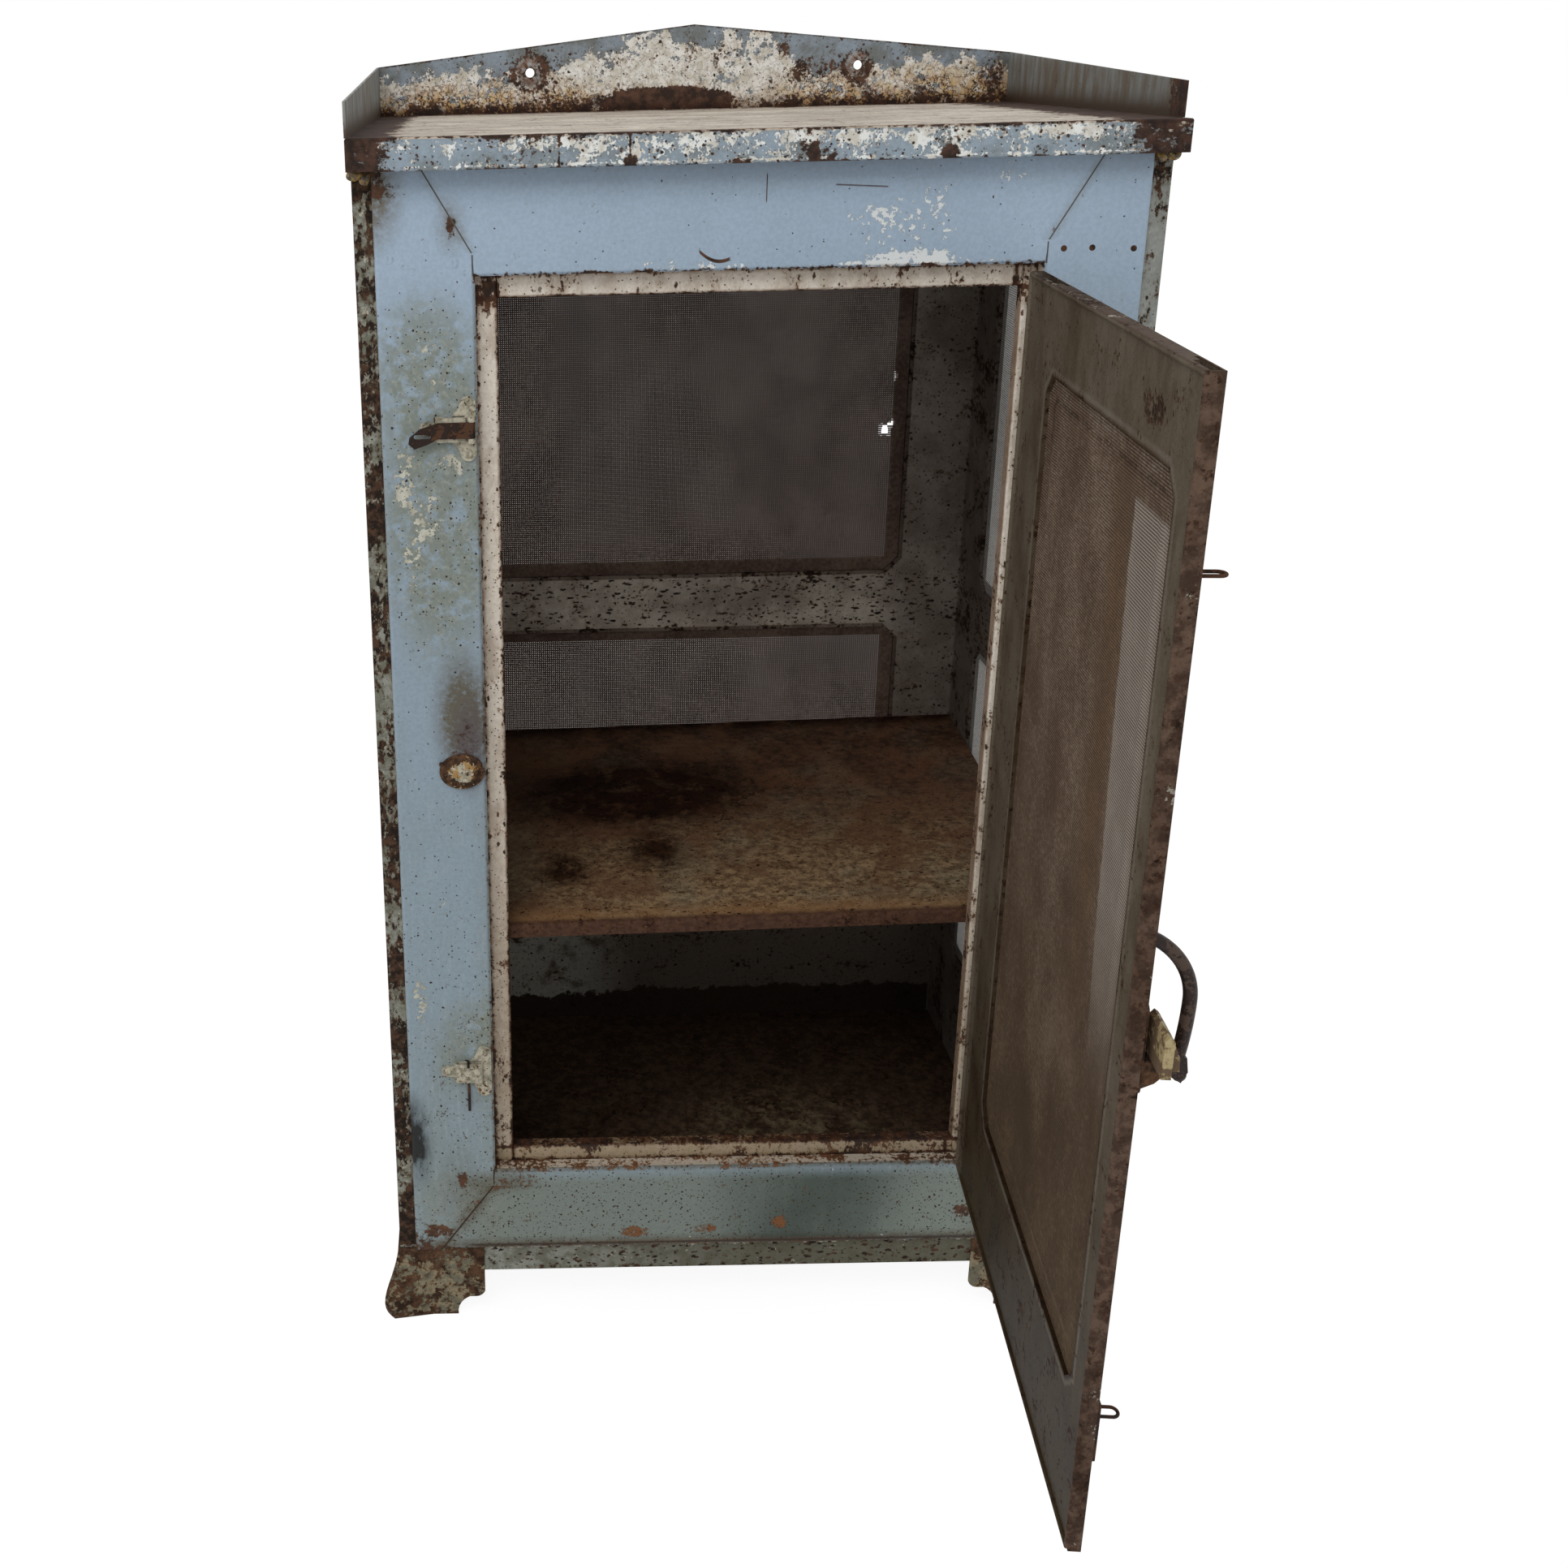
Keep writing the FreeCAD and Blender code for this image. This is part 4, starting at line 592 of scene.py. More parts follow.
def door_finish(s):
    """Olive-brown skin, brown at the free edge, dark at the foot and round the window, with a painted
    highlight on the bead round the window.
    """
    low = s.z.below(0.18, 0.62)
    u = door_across(s)
    top = s.mix(low, (0.134, 0.109, 0.079), (0.045, 0.031, 0.015))
    cloud = s.noise(0.035, 7.0, 0.7, stretch=(1, 1, 0.5)).step(0.42, 0.64)
    top = s.mix(0.7 * cloud, top, s.mix(low, (0.078, 0.055, 0.036), (0.029, 0.019, 0.01)))
    free = u.below(-0.2085, -0.2045)
    cloud = s.noise(0.012, 6.0, 0.7, shift=6.0).step(0.38, 0.6)
    top = s.mix(0.9 * free, top, s.mix(cloud, (0.128, 0.079, 0.056), (0.048, 0.026, 0.017)))
    head = s.z.step(0.9935, 0.9945)
    top = s.mix(0.85 * head, top, (0.07, 0.043, 0.027))
    top = s.mix(0.5 * u.step(0.196, 0.206), top, (0.165, 0.135, 0.1))
    past = past_door_window(s, u)
    # round the window: darker at its edge line, and a lighter line just outside it, a painted highlight on
    # the embossed bead
    line = s.near(past, 0.0, 0.003)
    hem = s.near(past, 0.0045, 0.0035)
    worn = s.total([0.07, 0.035 * low, 0.05 * free, 0.06 * head, 0.05 * line, 0.018 * u.step(-0.2, -0.19),
                    0.13 * s.blot((0.19, -0.345, 0.958), (1, 0.03, 0.018))])
    chipped = s.total([0.02, 0.13 * s.near(s.z, 0.996, 0.004) * s.y.step(-0.29, -0.27),
                       0.16 * s.near(u, -0.211, 0.0022) * free * s.noise(0.05, shift=2.0).step(0.48, 0.56)])
    spots = (0.7 * s.pits(0.001, 0.5, 1.0)).most(s.pits(0.0022, 0.12, 2.0, (1, 1, 0.6)))
    dents = s.total([s.blot((0.19, -0.395, z), (1, 0.005, 0.007), 0.9) for z in (0.7, 0.625, 0.612, 0.56)])
    bare = rust_colour(s, (0.018, 0.01, 0.007), (0.08, 0.042, 0.024), 0.01)
    grime = (0.5 * s.noise(0.08, 5.0, 0.65).step(0.42, 0.7) + 0.75 * line).clamped()
    return paint_job(s, s.mix(hem * 0.5, top, (0.21, 0.185, 0.15)), (0.34, 0.32, 0.27), bare,
                     flakes(s, chipped, 0.0035, 41.0), flakes(s, worn, 0.0045, 5.0), spots,
                     (grime, (0.5, 0.38, 0.28)), rough=0.6, relief=0.0 - 2.2 * dents, shine=0.1)


def shelf_finish(s):
    """Brown grained skin, ochre to the front, with a large dark stain and a scatter of pits."""
    back = s.y.step(0.05, 0.3)
    grain = s.noise(0.007, 7.0, 0.72, stretch=(0.8, 1, 1)).step(0.36, 0.64)
    near = s.mix(grain, (0.35, 0.23, 0.122), (0.105, 0.06, 0.031))
    far = s.mix(grain, (0.09, 0.048, 0.029), (0.032, 0.016, 0.01))
    top = s.mix(back, near, far)
    top = s.mix(0.7 * s.noise(0.05, 6.0, 0.7, shift=4.0).step(0.42, 0.6), top, (0.13, 0.062, 0.032))
    green = s.noise(0.09, 4.0, 0.6, shift=9.0).step(0.46, 0.64) * (1.0 - back * 0.7)
    top = s.mix(0.45 * green, top, s.mix(grain, (0.27, 0.245, 0.165), (0.13, 0.115, 0.075)))
    top = s.mix(0.5 * s.x.below(-0.26, -0.08), top, (0.08, 0.043, 0.025))
    top = s.mix(0.6 * s.near(s.y, 0.035, 0.03), top, (0.3, 0.16, 0.07))
    dark = s.total([
        1.6 * s.blot((-0.07, 0.27, 0.43), (0.185, 0.1, 1), 0.95),
        0.9 * s.blot((-0.06, 0.15, 0.43), (0.05, 0.06, 1), 0.9),
        0.9 * s.blot((-0.15, 0.12, 0.42), (0.04, 0.05, 1), 0.9),
        0.9 * s.near(s.y, 0.425, 0.03), 0.5 * s.near(s.x, -0.3, 0.05)])
    dark = (dark.clamped() * (0.45 + 0.75 * s.noise(0.02, 7.0, 0.72).step(0.32, 0.56))).clamped()
    lip = (s.y - 0.026).below(0.003, 0.012)
    worn = 0.095 + 0.06 * dark + 0.02 * lip
    bare = rust_colour(s, (0.02, 0.011, 0.007), (0.105, 0.05, 0.024), 0.01)
    spots = s.pits(0.0014, 0.8, 2.0).most(s.pits(0.0024, 0.35, 5.0, (0.6, 1, 1)))
    coat = s.mix(lip, top, s.mix(grain, (0.105, 0.052, 0.031), (0.06, 0.029, 0.019)))
    return paint_job(s, coat, top, bare, None, flakes(s, worn, 0.004, 9.0), spots,
                     (dark, (0.17, 0.11, 0.08)), rough=0.68, shine=0.1)


def floor_finish(s):
    """Old dark rust with brown clouds and an olive patch."""
    grain = s.noise(0.01, 7.0, 0.72).step(0.38, 0.62)
    patch = s.blot((0.09, 0.17, 0.066), (0.17, 0.14, 1), 0.95)
    patch = patch * s.noise(0.03, 6.0, 0.7, shift=5.0).step(0.34, 0.58)
    top = s.mix(grain, (0.074, 0.044, 0.027), (0.032, 0.019, 0.012))
    top = s.mix(patch * 0.9, top, s.mix(grain, (0.23, 0.185, 0.105), (0.08, 0.056, 0.032)))
    bare = rust_colour(s, (0.014, 0.008, 0.005), (0.07, 0.033, 0.017))
    return paint_job(s, top, top, bare, None, flakes(s, 0.13, 0.006, 9.0), s.pits(0.0018, 0.2, 3.0),
                     rough=0.75, shine=0.1)


def iron_finish(s, dark, light, rough):
    """Bare iron, browned: two tones clouded together, no coat left."""
    worn = flakes(s, 0.2, 0.006, 3.0)
    material = paint_job(s, dark, dark, light, None, worn, s.pits(0.001, 0.2, 1.0), rough=rough, grain=0.0009)
    s.feed(Metallic=0.2)
    return material


def plate_finish(s):
    """Cast plates: old cream coat over rust. The keeper's rim and the latch are bare."""
    top = s.mix(s.noise(0.005).step(0.42, 0.6), (0.52, 0.48, 0.38), (0.3, 0.285, 0.215))
    keeper = s.blot((-0.2427, 0, 0.5795), (0.028, 1, 0.024), 0.05)
    hump = s.blot((-0.24, 0, 0.5795), (0.0165, 1, 0.0125), 0.5)
    top = s.mix(keeper * s.noise(0.006, shift=2.0).step(0.45, 0.55), top, (0.38, 0.23, 0.09))
    latch = s.x.step(0.1, 0.12)
    worn = flakes(s, 0.12 + 0.2 * latch + 0.15 * keeper * (1.0 - hump), 0.003, 6.0)
    bare = rust_colour(s, (0.028, 0.016, 0.01), (0.125, 0.062, 0.032), 0.006)
    return paint_job(s, top, top, bare, None, worn, s.pits(0.0012, 0.25, 2.0),
                     rough=0.6, grain=0.0008, shine=0.15)


def gauze_finish(s, dark, light, pale=None, shade=None):
    """Oxidised wire: two browns in clouds, with a third colour and painted shade where masks ask for them."""
    cloud = s.noise(0.07, 4.0, 0.6, stretch=(1, 1, 0.7)) * 0.5 + s.noise(0.004, 5.0, 0.7) * 0.5
    colour = s.mix(cloud.step(0.4, 0.62), dark, light)
    if pale is not None:
        colour = s.mix(pale[0], colour, pale[1])
    if shade is not None:
        colour = s.mix(shade, colour, (0.26, 0.23, 0.21), "MULTIPLY")
    s.feed(Base_Color=colour, Roughness=0.8, Specular_IOR_Level=0.12)
    return s.material


def door_gauze_finish(s):
    """The door's wire: brown, with a pale band down the free side, a dull one at the top, and painted shade
    between the level wires.
    """
    u = door_across(s)
    past = past_door_window(s, u)
    low = s.z.below(0.25, 0.7)
    brown = s.mix(low, (0.12, 0.077, 0.051), (0.08, 0.051, 0.03))
    pale = s.mix(low, (0.27, 0.2, 0.148), (0.16, 0.108, 0.066))
    rusty = s.near(u, -0.07, 0.05) * s.z.step(0.4, 0.6)
    pale = s.mix(rusty * 0.8, pale, (0.17, 0.098, 0.05))
    inner = u + 0.092 + 0.16 * (0.9 - s.z).most(0.0) * (0.9 - s.z).most(0.0)
    inner = inner + 0.01 * (s.noise(0.02, 4.0, 0.6) - 0.5)
    band = inner.below(-0.0015, 0.0015) * s.z.step(0.48, 0.66) * s.z.below(0.892, 0.898)
    # painted shade between the level wires, every 2.2 mm
    rib = s.node("ShaderNodeMath", {"operation": "COSINE"}, {0: (s.z - 0.2784) * 2860.4})
    band = band * (1.0 - 0.55 * s.near(past, 0.0, 0.02))
    fuzz = s.noise(0.0035, 4.0, 0.65, stretch=(1, 0.5, 1.6), shift=4.0).step(0.4, 0.6)
    pale = s.mix(0.15 + 0.5 * fuzz - 0.15 * rib, pale, brown)
    head = s.near(past, -0.006, 0.013) * s.z.step(0.88, 0.9)
    ridge = s.near(past, -0.017, 0.004) * s.z.step(0.86, 0.88)
    pale = s.mix((0.5 * head).clamped(), pale, (0.33, 0.28, 0.23))
    brown = s.mix((0.8 * ridge).clamped(), brown, (0.05, 0.032, 0.022))
    patchy = s.noise(0.05, 4.0, 0.6, shift=6.0).step(0.38, 0.62)
    shade = (0.5 - 0.5 * rib) * (0.2 + 0.35 * patchy + 0.45 * band)
    return gauze_finish(s, brown, pale, (band, (0.34, 0.29, 0.245)), shade)


def weld_finish(s):
    """Yellowed weld bead over dark steel."""
    colour = s.mix(s.noise(0.004, 5.0, 0.6).step(0.4, 0.6), (0.055, 0.04, 0.026), (0.33, 0.2, 0.045))
    s.feed(Base_Color=colour, Roughness=0.42)
    return s.material


FINISHES = {
    "blue_paint": face_finish,
    "top_paint": top_finish,
    "gallery_paint": gallery_finish,
    "post_paint": post_finish,
    "foot_iron": foot_finish,
    "stop_paint": stop_finish,
    "panel_paint": panel_finish,
    "door_paint": door_finish,
    "shelf_paint": shelf_finish,
    "floor_paint": floor_finish,
    "rusty_iron": lambda s: iron_finish(s, (0.024, 0.013, 0.009), (0.085, 0.04, 0.022), 0.65),
    "plate_iron": plate_finish,
    "handle_iron": lambda s: iron_finish(s, (0.026, 0.016, 0.013), (0.07, 0.045, 0.034), 0.38),
    "nose_steel": lambda s: iron_finish(s, (0.42, 0.34, 0.18), (0.13, 0.085, 0.05), 0.45),
    "back_wire": lambda s: gauze_finish(s, (0.062, 0.038, 0.028), (0.126, 0.086, 0.066)),
    "side_wire": lambda s: gauze_finish(s, (0.08, 0.066, 0.056), (0.17, 0.15, 0.13)),
    "door_wire": door_gauze_finish,
    "weld": weld_finish,
}
_made = {}


def finish(name):
    """The material of that name, written once and then shared."""
    if name not in _made:
        _made[name] = FINISHES[name](new_material(name))
    return _made[name]


# ------------------------------------------------------------------ meshes

def shut_to_rest(points):
    """Turns points drawn on the shut door about the hinge pin to where the door stands."""
    c, s = math.cos(REST_OPEN), math.sin(REST_OPEN)
    flat = points[..., :2] - HINGE
    turned = flat @ np.array([[c, s], [-s, c]]) + HINGE
    return np.concatenate([turned, points[..., 2:]], axis=-1)


def add_piece(name, points, faces, look, body, slot, smooth=False):
    """Makes a mesh object at the origin, with its place in its points, and puts it on its body."""
    mesh = bpy.data.meshes.new(name)
    mesh.from_pydata(points.reshape(-1, 3), [], faces.tolist() if isinstance(faces, np.ndarray) else faces)
    mesh.materials.append(finish(look))
    if smooth:
        mesh.polygons.foreach_set("use_smooth", np.ones(len(mesh.polygons), bool))
    mesh.update()
    piece = bpy.data.objects.new(name, mesh)
    bpy.context.scene.collection.objects.link(piece)
    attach(piece, body)
    return piece


def strands(lines, half_width, half_depth, lift, across, sag, pieces, uneven=0.0):
    """Flat wires. Each line is (place across, start, end) in the window's plane.

    A point of a wire is start + t (end - start) along it, at the sag's depth there plus the lift.
    t is k/n - 0.7 sin(2 pi k/n) / 2 pi, so points stand closer near the ends. Four corners stand
    round each, half a width to each side and half a depth before and behind.
    """
    k = np.linspace(0.0, 1.0, pieces + 1)
    t = k - 0.7 * np.sin(2 * math.pi * k) / (2 * math.pi)
    along = lines[:, 1:2] + t * (lines[:, 2:3] - lines[:, 1:2])
    place = np.repeat(lines[:, 0:1], pieces + 1, axis=1)
    u, v = (place, along) if across == "u" else (along, place)
    depth = sag(u, v) + lift
    widths = half_width * (1.0 + uneven * np.sin(lines[:, 0:1] * 9173.0))
    rings = []
    for side, front in ((-1, -1), (1, -1), (1, 1), (-1, 1)):
        du = side * widths if across == "u" else 0.0
        dv = side * widths if across == "v" else 0.0
        rings.append(np.stack([u + du, depth + front * half_depth, v + dv], axis=-1))
    points = np.stack(rings, axis=2)
    count = len(lines)
    base = (np.arange(count)[:, None] * (pieces + 1) + np.arange(pieces)) * 4
    quads = []
    for corner in range(4):
        after = (corner + 1) % 4
        quads.append(np.stack([base + corner, base + after, base + 4 + after, base + 4 + corner],
                              axis=-1).reshape(-1, 4))
    first = np.arange(count) * (pieces + 1) * 4
    last = first + pieces * 4
    quads.append(np.stack([first + 3, first + 2, first + 1, first], axis=-1))
    quads.append(np.stack([last, last + 1, last + 2, last + 3], axis=-1))
    faces = np.concatenate(quads)
    if across == "v":
        faces = faces[:, ::-1]
    return points.reshape(-1, 3), faces


def cut_holes(lines, holes, across):
    """Splits the wires that cross a torn place: each keeps what lies outside the oval."""
    for u, v, ru, rv in holes:
        place, middle, r_place, r_along = (u, v, ru, rv) if across == "u" else (v, u, rv, ru)
        share = (lines[:, 0] - place) / r_place
        hit = (np.abs(share) < 1.0) & (lines[:, 1] < middle) & (lines[:, 2] > middle)
        torn = lines[hit]
        ragged = 1.0 + 0.35 * np.sin(torn[:, 0] * 5171.0)
        half = r_along * np.sqrt(1.0 - share[hit] ** 2) * ragged
        before, after = torn.copy(), torn.copy()
        before[:, 2] = middle - half
        after[:, 1] = middle + half
        lines = np.concatenate([lines[~hit], before, after])
    return lines[lines[:, 2] - lines[:, 1] > 0.002]


def wire_lines(across, window, pitch, holes, jitter=0.0):
    """The wires that run one way through a window (u0, u1, v0, v1), cut at its corners and tears."""
    u0, u1, v0, v1 = window
    (p0, p1), (a0, a1) = ((u0, u1), (v0, v1)) if across == "u" else ((v0, v1), (u0, u1))
    count = round((p1 - p0) / pitch)
    place = p0 + (np.arange(count) + 0.5) * (p1 - p0) / count
    place = place + jitter * np.sin(place * 7919.0)
    corner = np.clip(WINDOW_CORNER - np.minimum(place - p0, p1 - place), 0.0, None)
    return cut_holes(np.stack([place, a0 + corner, a1 - corner], axis=1), holes, across)


def woven(window, pitch, half_width, sag, pieces, half_depth=0.00022, holes=()):
    """Upright wires before level ones. The level ones run on across half of each tear."""
    parts = []
    smaller = [(u, v, 0.7 * a, 0.5 * b) for u, v, a, b in holes]
    for across, side, torn in (("u", -1, holes), ("v", 1, smaller)):
        lines = wire_lines(across, window, pitch, torn, jitter=0.000005)
        parts.append(strands(lines, half_width, half_depth, side * half_depth, across, sag, pieces, 0.004))
    return join_parts(parts)


def join_parts(parts):
    """Several (points, faces) pairs as one."""
    points, faces, shift = [], [], 0
    for p, f in parts:
        points.append(p)
        faces.append(f + shift)
        shift += len(p)
    return np.concatenate(points), np.concatenate(faces)


def ripples(seed, height):
    """Gentle dents: a sum of three sine waves in the window's plane."""
    k = 11.0 + seed
    return lambda u, v: height * (np.sin(k * u + 2.1 * seed) * np.cos(0.8 * k * v)
                                  + 0.5 * np.sin(2.3 * k * v + seed))


def ring_faces(rings, sides):
    """Quads between each ring of points and the next."""
    k, n = np.meshgrid(np.arange(rings - 1), np.arange(sides), indexing="ij")
    m = (n + 1) % sides
    return np.stack([k * sides + n, k * sides + m, (k + 1) * sides + m, (k + 1) * sides + n],
                    axis=-1).reshape(-1, 4)


def button(centre, radius, height, slot, sides=20):
    """Domed head on an upright face, open at the back, with a screw slot where slot is above 0.

    Its rings stand at the height sqrt(1 - r squared), and the slot is a groove down to 0.35 of it.
    """
    r = np.array([1.0, 0.96, 0.85, 0.65, 0.35, 0.0])
    h = np.array([0.0, 0.35, 0.62, 0.84, 0.96, 1.0])
    a = np.linspace(0, 2 * math.pi, sides, endpoint=False)
    x, z = r[:, None] * np.cos(a), r[:, None] * np.sin(a)
    rise = np.repeat(h[:, None], sides, 1)
    rise = np.where((np.abs(x) < slot) & (rise > 0.5), 0.35, rise)
    points = np.stack([x * radius, -rise * height, z * radius], axis=-1)
    return points.reshape(-1, 3) + np.asarray(centre), ring_faces(len(r), sides)


def lump(centre, radii, seed):
    """Weld bead: an oval ball whose radius swells with a few sine waves."""
    a = np.linspace(0, 2 * math.pi, 28, endpoint=False)
    b = np.linspace(0, math.pi, 15)
    bb, aa = np.meshgrid(b, a, indexing="ij")
    swell = 1.0 + 0.16 * np.sin(3 * aa + seed) * np.sin(2 * bb) + 0.1 * np.sin(5 * aa - 2 * bb + seed)
    ball = np.stack([np.sin(bb) * np.cos(aa), np.sin(bb) * np.sin(aa), np.cos(bb)], axis=-1)
    points = ball * swell[..., None] * np.asarray(radii) + np.asarray(centre)
    return points.reshape(-1, 3), np.roll(ring_faces(len(b), len(a))[:, ::-1], 1, axis=1)


# ------------------------------------------------------------------ settings

class GauzeSizes(bpy.types.PropertyGroup):
    """Sizes of the woven wire."""
    pitch: bpy.props.FloatProperty(
        name="Mesh pitch", description="Distance from wire to wire", default=0.0022, unit="LENGTH")
    back_wire: bpy.props.FloatProperty(
        name="Back wire", description="Half the width of the back wires", default=0.00089, unit="LENGTH")
    side_wire: bpy.props.FloatProperty(
        name="Side wire", description="Half the width of the side wires", default=0.00024, unit="LENGTH")
    door_wire: bpy.props.FloatProperty(
        name="Door wire", description="Half the width of the door wires", default=0.00072, unit="LENGTH")
    dents: bpy.props.FloatProperty(
        name="Dents", description="Height of the dents in the back gauze", default=0.0004, unit="LENGTH")
    slack: bpy.props.FloatProperty(
        name="Slack", description="How far the upper side gauze bulges inwards", default=0.006, unit="LENGTH")


class StageLook(bpy.types.PropertyGroup):
    """Floor, light and camera."""
    floor_colour: bpy.props.FloatVectorProperty(
        name="Floor", description="Colour of the floor", default=(0.86, 0.86, 0.86), subtype="COLOR")
    floor_share: bpy.props.FloatProperty(
        name="Floor white", description="Share of white where the floor is looked at", default=0.8)
    floor_glow: bpy.props.FloatProperty(
        name="Floor glow", description="Strength of that white", default=1.15)
    sky: bpy.props.FloatProperty(
        name="Sky light", description="Strength of the even light from all round", default=0.62)
    key: bpy.props.FloatProperty(
        name="Key light", description="Power of the large lamp", default=34.0, unit="POWER")
    lens: bpy.props.FloatProperty(
        name="Lens", description="Focal length of the camera", default=38.32, unit="CAMERA")


# ------------------------------------------------------------------ operators

class SAFE_OT_paint(bpy.types.Operator):
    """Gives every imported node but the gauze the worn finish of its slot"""
    bl_idname = "safe.paint"
    bl_label = "Paint the safe"

    def execute(self, context):
        slots = {part["node"]: part["material_slot"] for part in frame["record"]["subparts"]}
        for node, piece in frame["nodes"].items():
            look = slots[node]
            if look == "gauze_wire":
                continue
            material = finish(look)
            for place in piece.material_slots:
                place.material = material
            if not piece.material_slots:
                piece.data.materials.append(material)
        return {"FINISHED"}


class SAFE_OT_back_gauze(bpy.types.Operator):
    """Weaves the two windows of the back, nearly shut by wide wires as painted shade for the dark behind the
    back, with three tears
    """
    bl_idname = "safe.back_gauze"
    bl_label = "Back gauze"

    def execute(self, context):
        sizes = context.scene.safe_gauze
        low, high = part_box("back_gauze")
        tears = ((0.2185, 0.833, 0.003, 0.006), (0.209, 0.776, 0.007, 0.008), (0.215, 0.783, 0.005, 0.004))
        parts = []
        for (v0, v1), share, holes in ((LOWER_WINDOW, 0.96, ()), (UPPER_WINDOW, 1.0, tears)):
            window = (low[0], high[0], v0 + GAUZE_GAP, v1 - GAUZE_GAP)
            sag = ripples(1.7 + v0, sizes.dents)
            # wires wide enough to nearly shut the windows: painted shade for the dark behind the back
            parts.append(woven(window, sizes.pitch, share * sizes.back_wire, sag, 12, holes=holes))
        points, faces = join_parts(parts)
        points[:, 1] += high[1] - BACK_GAUZE_INSET
        piece = add_piece("back_gauze_woven", points, faces, "back_wire", "carcass", "gauze_wire")
        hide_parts("back_gauze")
        return {"FINISHED"}


class SAFE_OT_side_gauze(bpy.types.Operator):
    """Weaves the two windows of each side, the upper ones slack and bulged inwards"""
    bl_idname = "safe.side_gauze"
    bl_label = "Side gauze"

    def execute(self, context):
        sizes = context.scene.safe_gauze
        for side, node in ((-1, "left_gauze"), (1, "right_gauze")):
            low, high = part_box(node)
            parts = []
            for (v0, v1), slack in ((LOWER_WINDOW, 0.0), (UPPER_WINDOW, sizes.slack)):
                window = (low[1], high[1], v0 + GAUZE_GAP, v1 - GAUZE_GAP)
                rippled = ripples(3.1 + v0, 0.0006)

                def sag(u, v):
                    """Half a sine wave along each side of the window, and the ripples."""
                    across = np.clip((u - window[0]) / (window[1] - window[0]), 0.0, 1.0)
                    up = np.clip((v - window[2]) / (window[3] - window[2]), 0.0, 1.0)
                    swell = np.sin(math.pi * across) * np.sin(math.pi * up)
                    return swell * rippled(u, v) - slack * swell

                points, faces = woven(window, sizes.pitch, sizes.side_wire, sag, 12, half_depth=0.00008)
                x = side * (SIDE_GAUZE_X + points[:, 1])
                points = np.stack([x, points[:, 0], points[:, 2]], axis=1)
                parts.append((points, faces if side < 0 else faces[:, ::-1]))
            points, faces = join_parts(parts)
            piece = add_piece(node + "_woven", points, faces, "side_wire", "carcass", "gauze_wire")
            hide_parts(node)
        return {"FINISHED"}


class SAFE_OT_door_gauze(bpy.types.Operator):
    """Weaves the door's one long window, stretched over a low ridge round it"""
    bl_idname = "safe.door_gauze"
    bl_label = "Door gauze"

    def execute(self, context):
        sizes = context.scene.safe_gauze
        u0, u1, v0, v1 = DOOR_WINDOW
        window = (u0 + GAUZE_GAP, u1 - GAUZE_GAP, v0 + GAUZE_GAP, v1 - GAUZE_GAP)

        def sag(u, v):
            """A low ridge round the window, where the outer skin's lip ends, and slow ripples."""
            rim = np.minimum(np.minimum(u - u0, u1 - u), np.minimum(v - v0, v1 - v))
            over_lip = np.clip((rim - 0.018) / 0.005, 0.0, 1.0) * np.clip((0.032 - rim) / 0.007, 0.0, 1.0)
            fade = np.clip(rim / 0.03, 0.0, 1.0)
            return 0.0006 * over_lip + fade * (0.0008 * np.sin(23.0 * u) * np.cos(9.0 * v) - 0.0006)

        points, faces = woven(window, sizes.pitch, sizes.door_wire, sag, 28)
        points[:, 1] += DOOR_GAUZE_Y
        piece = add_piece("door_gauze_woven", shut_to_rest(points), faces, "door_wire", "door", "gauze_wire")
        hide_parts("door_gauze")
        return {"FINISHED"}


class SAFE_OT_fixings(bpy.types.Operator):
    """Sets the screws and rivets in the plates, the face frame and the hinges"""
    bl_idname = "safe.fixings"
    bl_label = "Screws and rivets"

    def execute(self, context):
        leaves = [(x, z + dz) for z in (0.29, 0.578, 0.866) for x in (0.236, 0.2455)
                  for dz in (-0.02, 0.0, 0.02)]
        # name, look and slot, y, radius, height, half width of the groove, places across and up
        rows = (
            ("hasp_screws", "plate_iron", -0.0014, 0.0034, 0.0016, 0.16,
             [(-0.2287, 0.9015), (-0.2297, 0.859), (-0.2302, 0.2985), (-0.2636, 0.2786)]),
            ("face_screws", "blue_paint", 0.0002, 0.0042, 0.0007, 0.14,
             [(-0.2888, 1.0144), (-0.2382, 1.0105)]),
            ("face_rivets", "rusty_iron", 0.0002, 0.0026, 0.0005, 0.0,
             [(0.2579, 1.011), (0.2901, 1.0097), (0.2359, 1.0109)]),
            ("hinge_screws", "rusty_iron", -0.0015, 0.0026, 0.0011, 0.16, leaves),
            ("keeper_rivets", "plate_iron", -0.0019, 0.0022, 0.0012, 0.0,
             [(-0.2602, 0.587), (-0.233, 0.568)]))
        for name, look, y, radius, height, groove, places in rows:
            parts = [button((x, y, z), radius, height, groove) for x, z in places]
            if name == "hasp_screws":
                # the hanging pin swings over this one, so it lies nearly flush
                parts.append(button((-0.2303, -0.0013, 0.259), radius, 0.0003, groove))
            add_piece(name, *join_parts(parts), look, "carcass", look, smooth=True)
        return {"FINISHED"}


class SAFE_OT_welds(bpy.types.Operator):
    """Lays the weld lumps where the top meets the front posts"""
    bl_idname = "safe.welds"
    bl_label = "Welds"

    def execute(self, context):
        beads = (((-0.312, -0.0085, 1.0795), (0.0055, 0.004, 0.0045), 1.0),
                 ((-0.304, -0.007, 1.0765), (0.004, 0.0035, 0.005), 2.2),
                 ((0.3105, -0.0085, 1.08), (0.0052, 0.004, 0.004), 3.1),
                 ((0.305, 0.002, 1.079), (0.0045, 0.004, 0.005), 4.4))
        points, faces = join_parts([lump(*bead) for bead in beads])
        add_piece("weld_lumps", points, faces, "weld", "carcass", "post_paint", smooth=True)
        return {"FINISHED"}


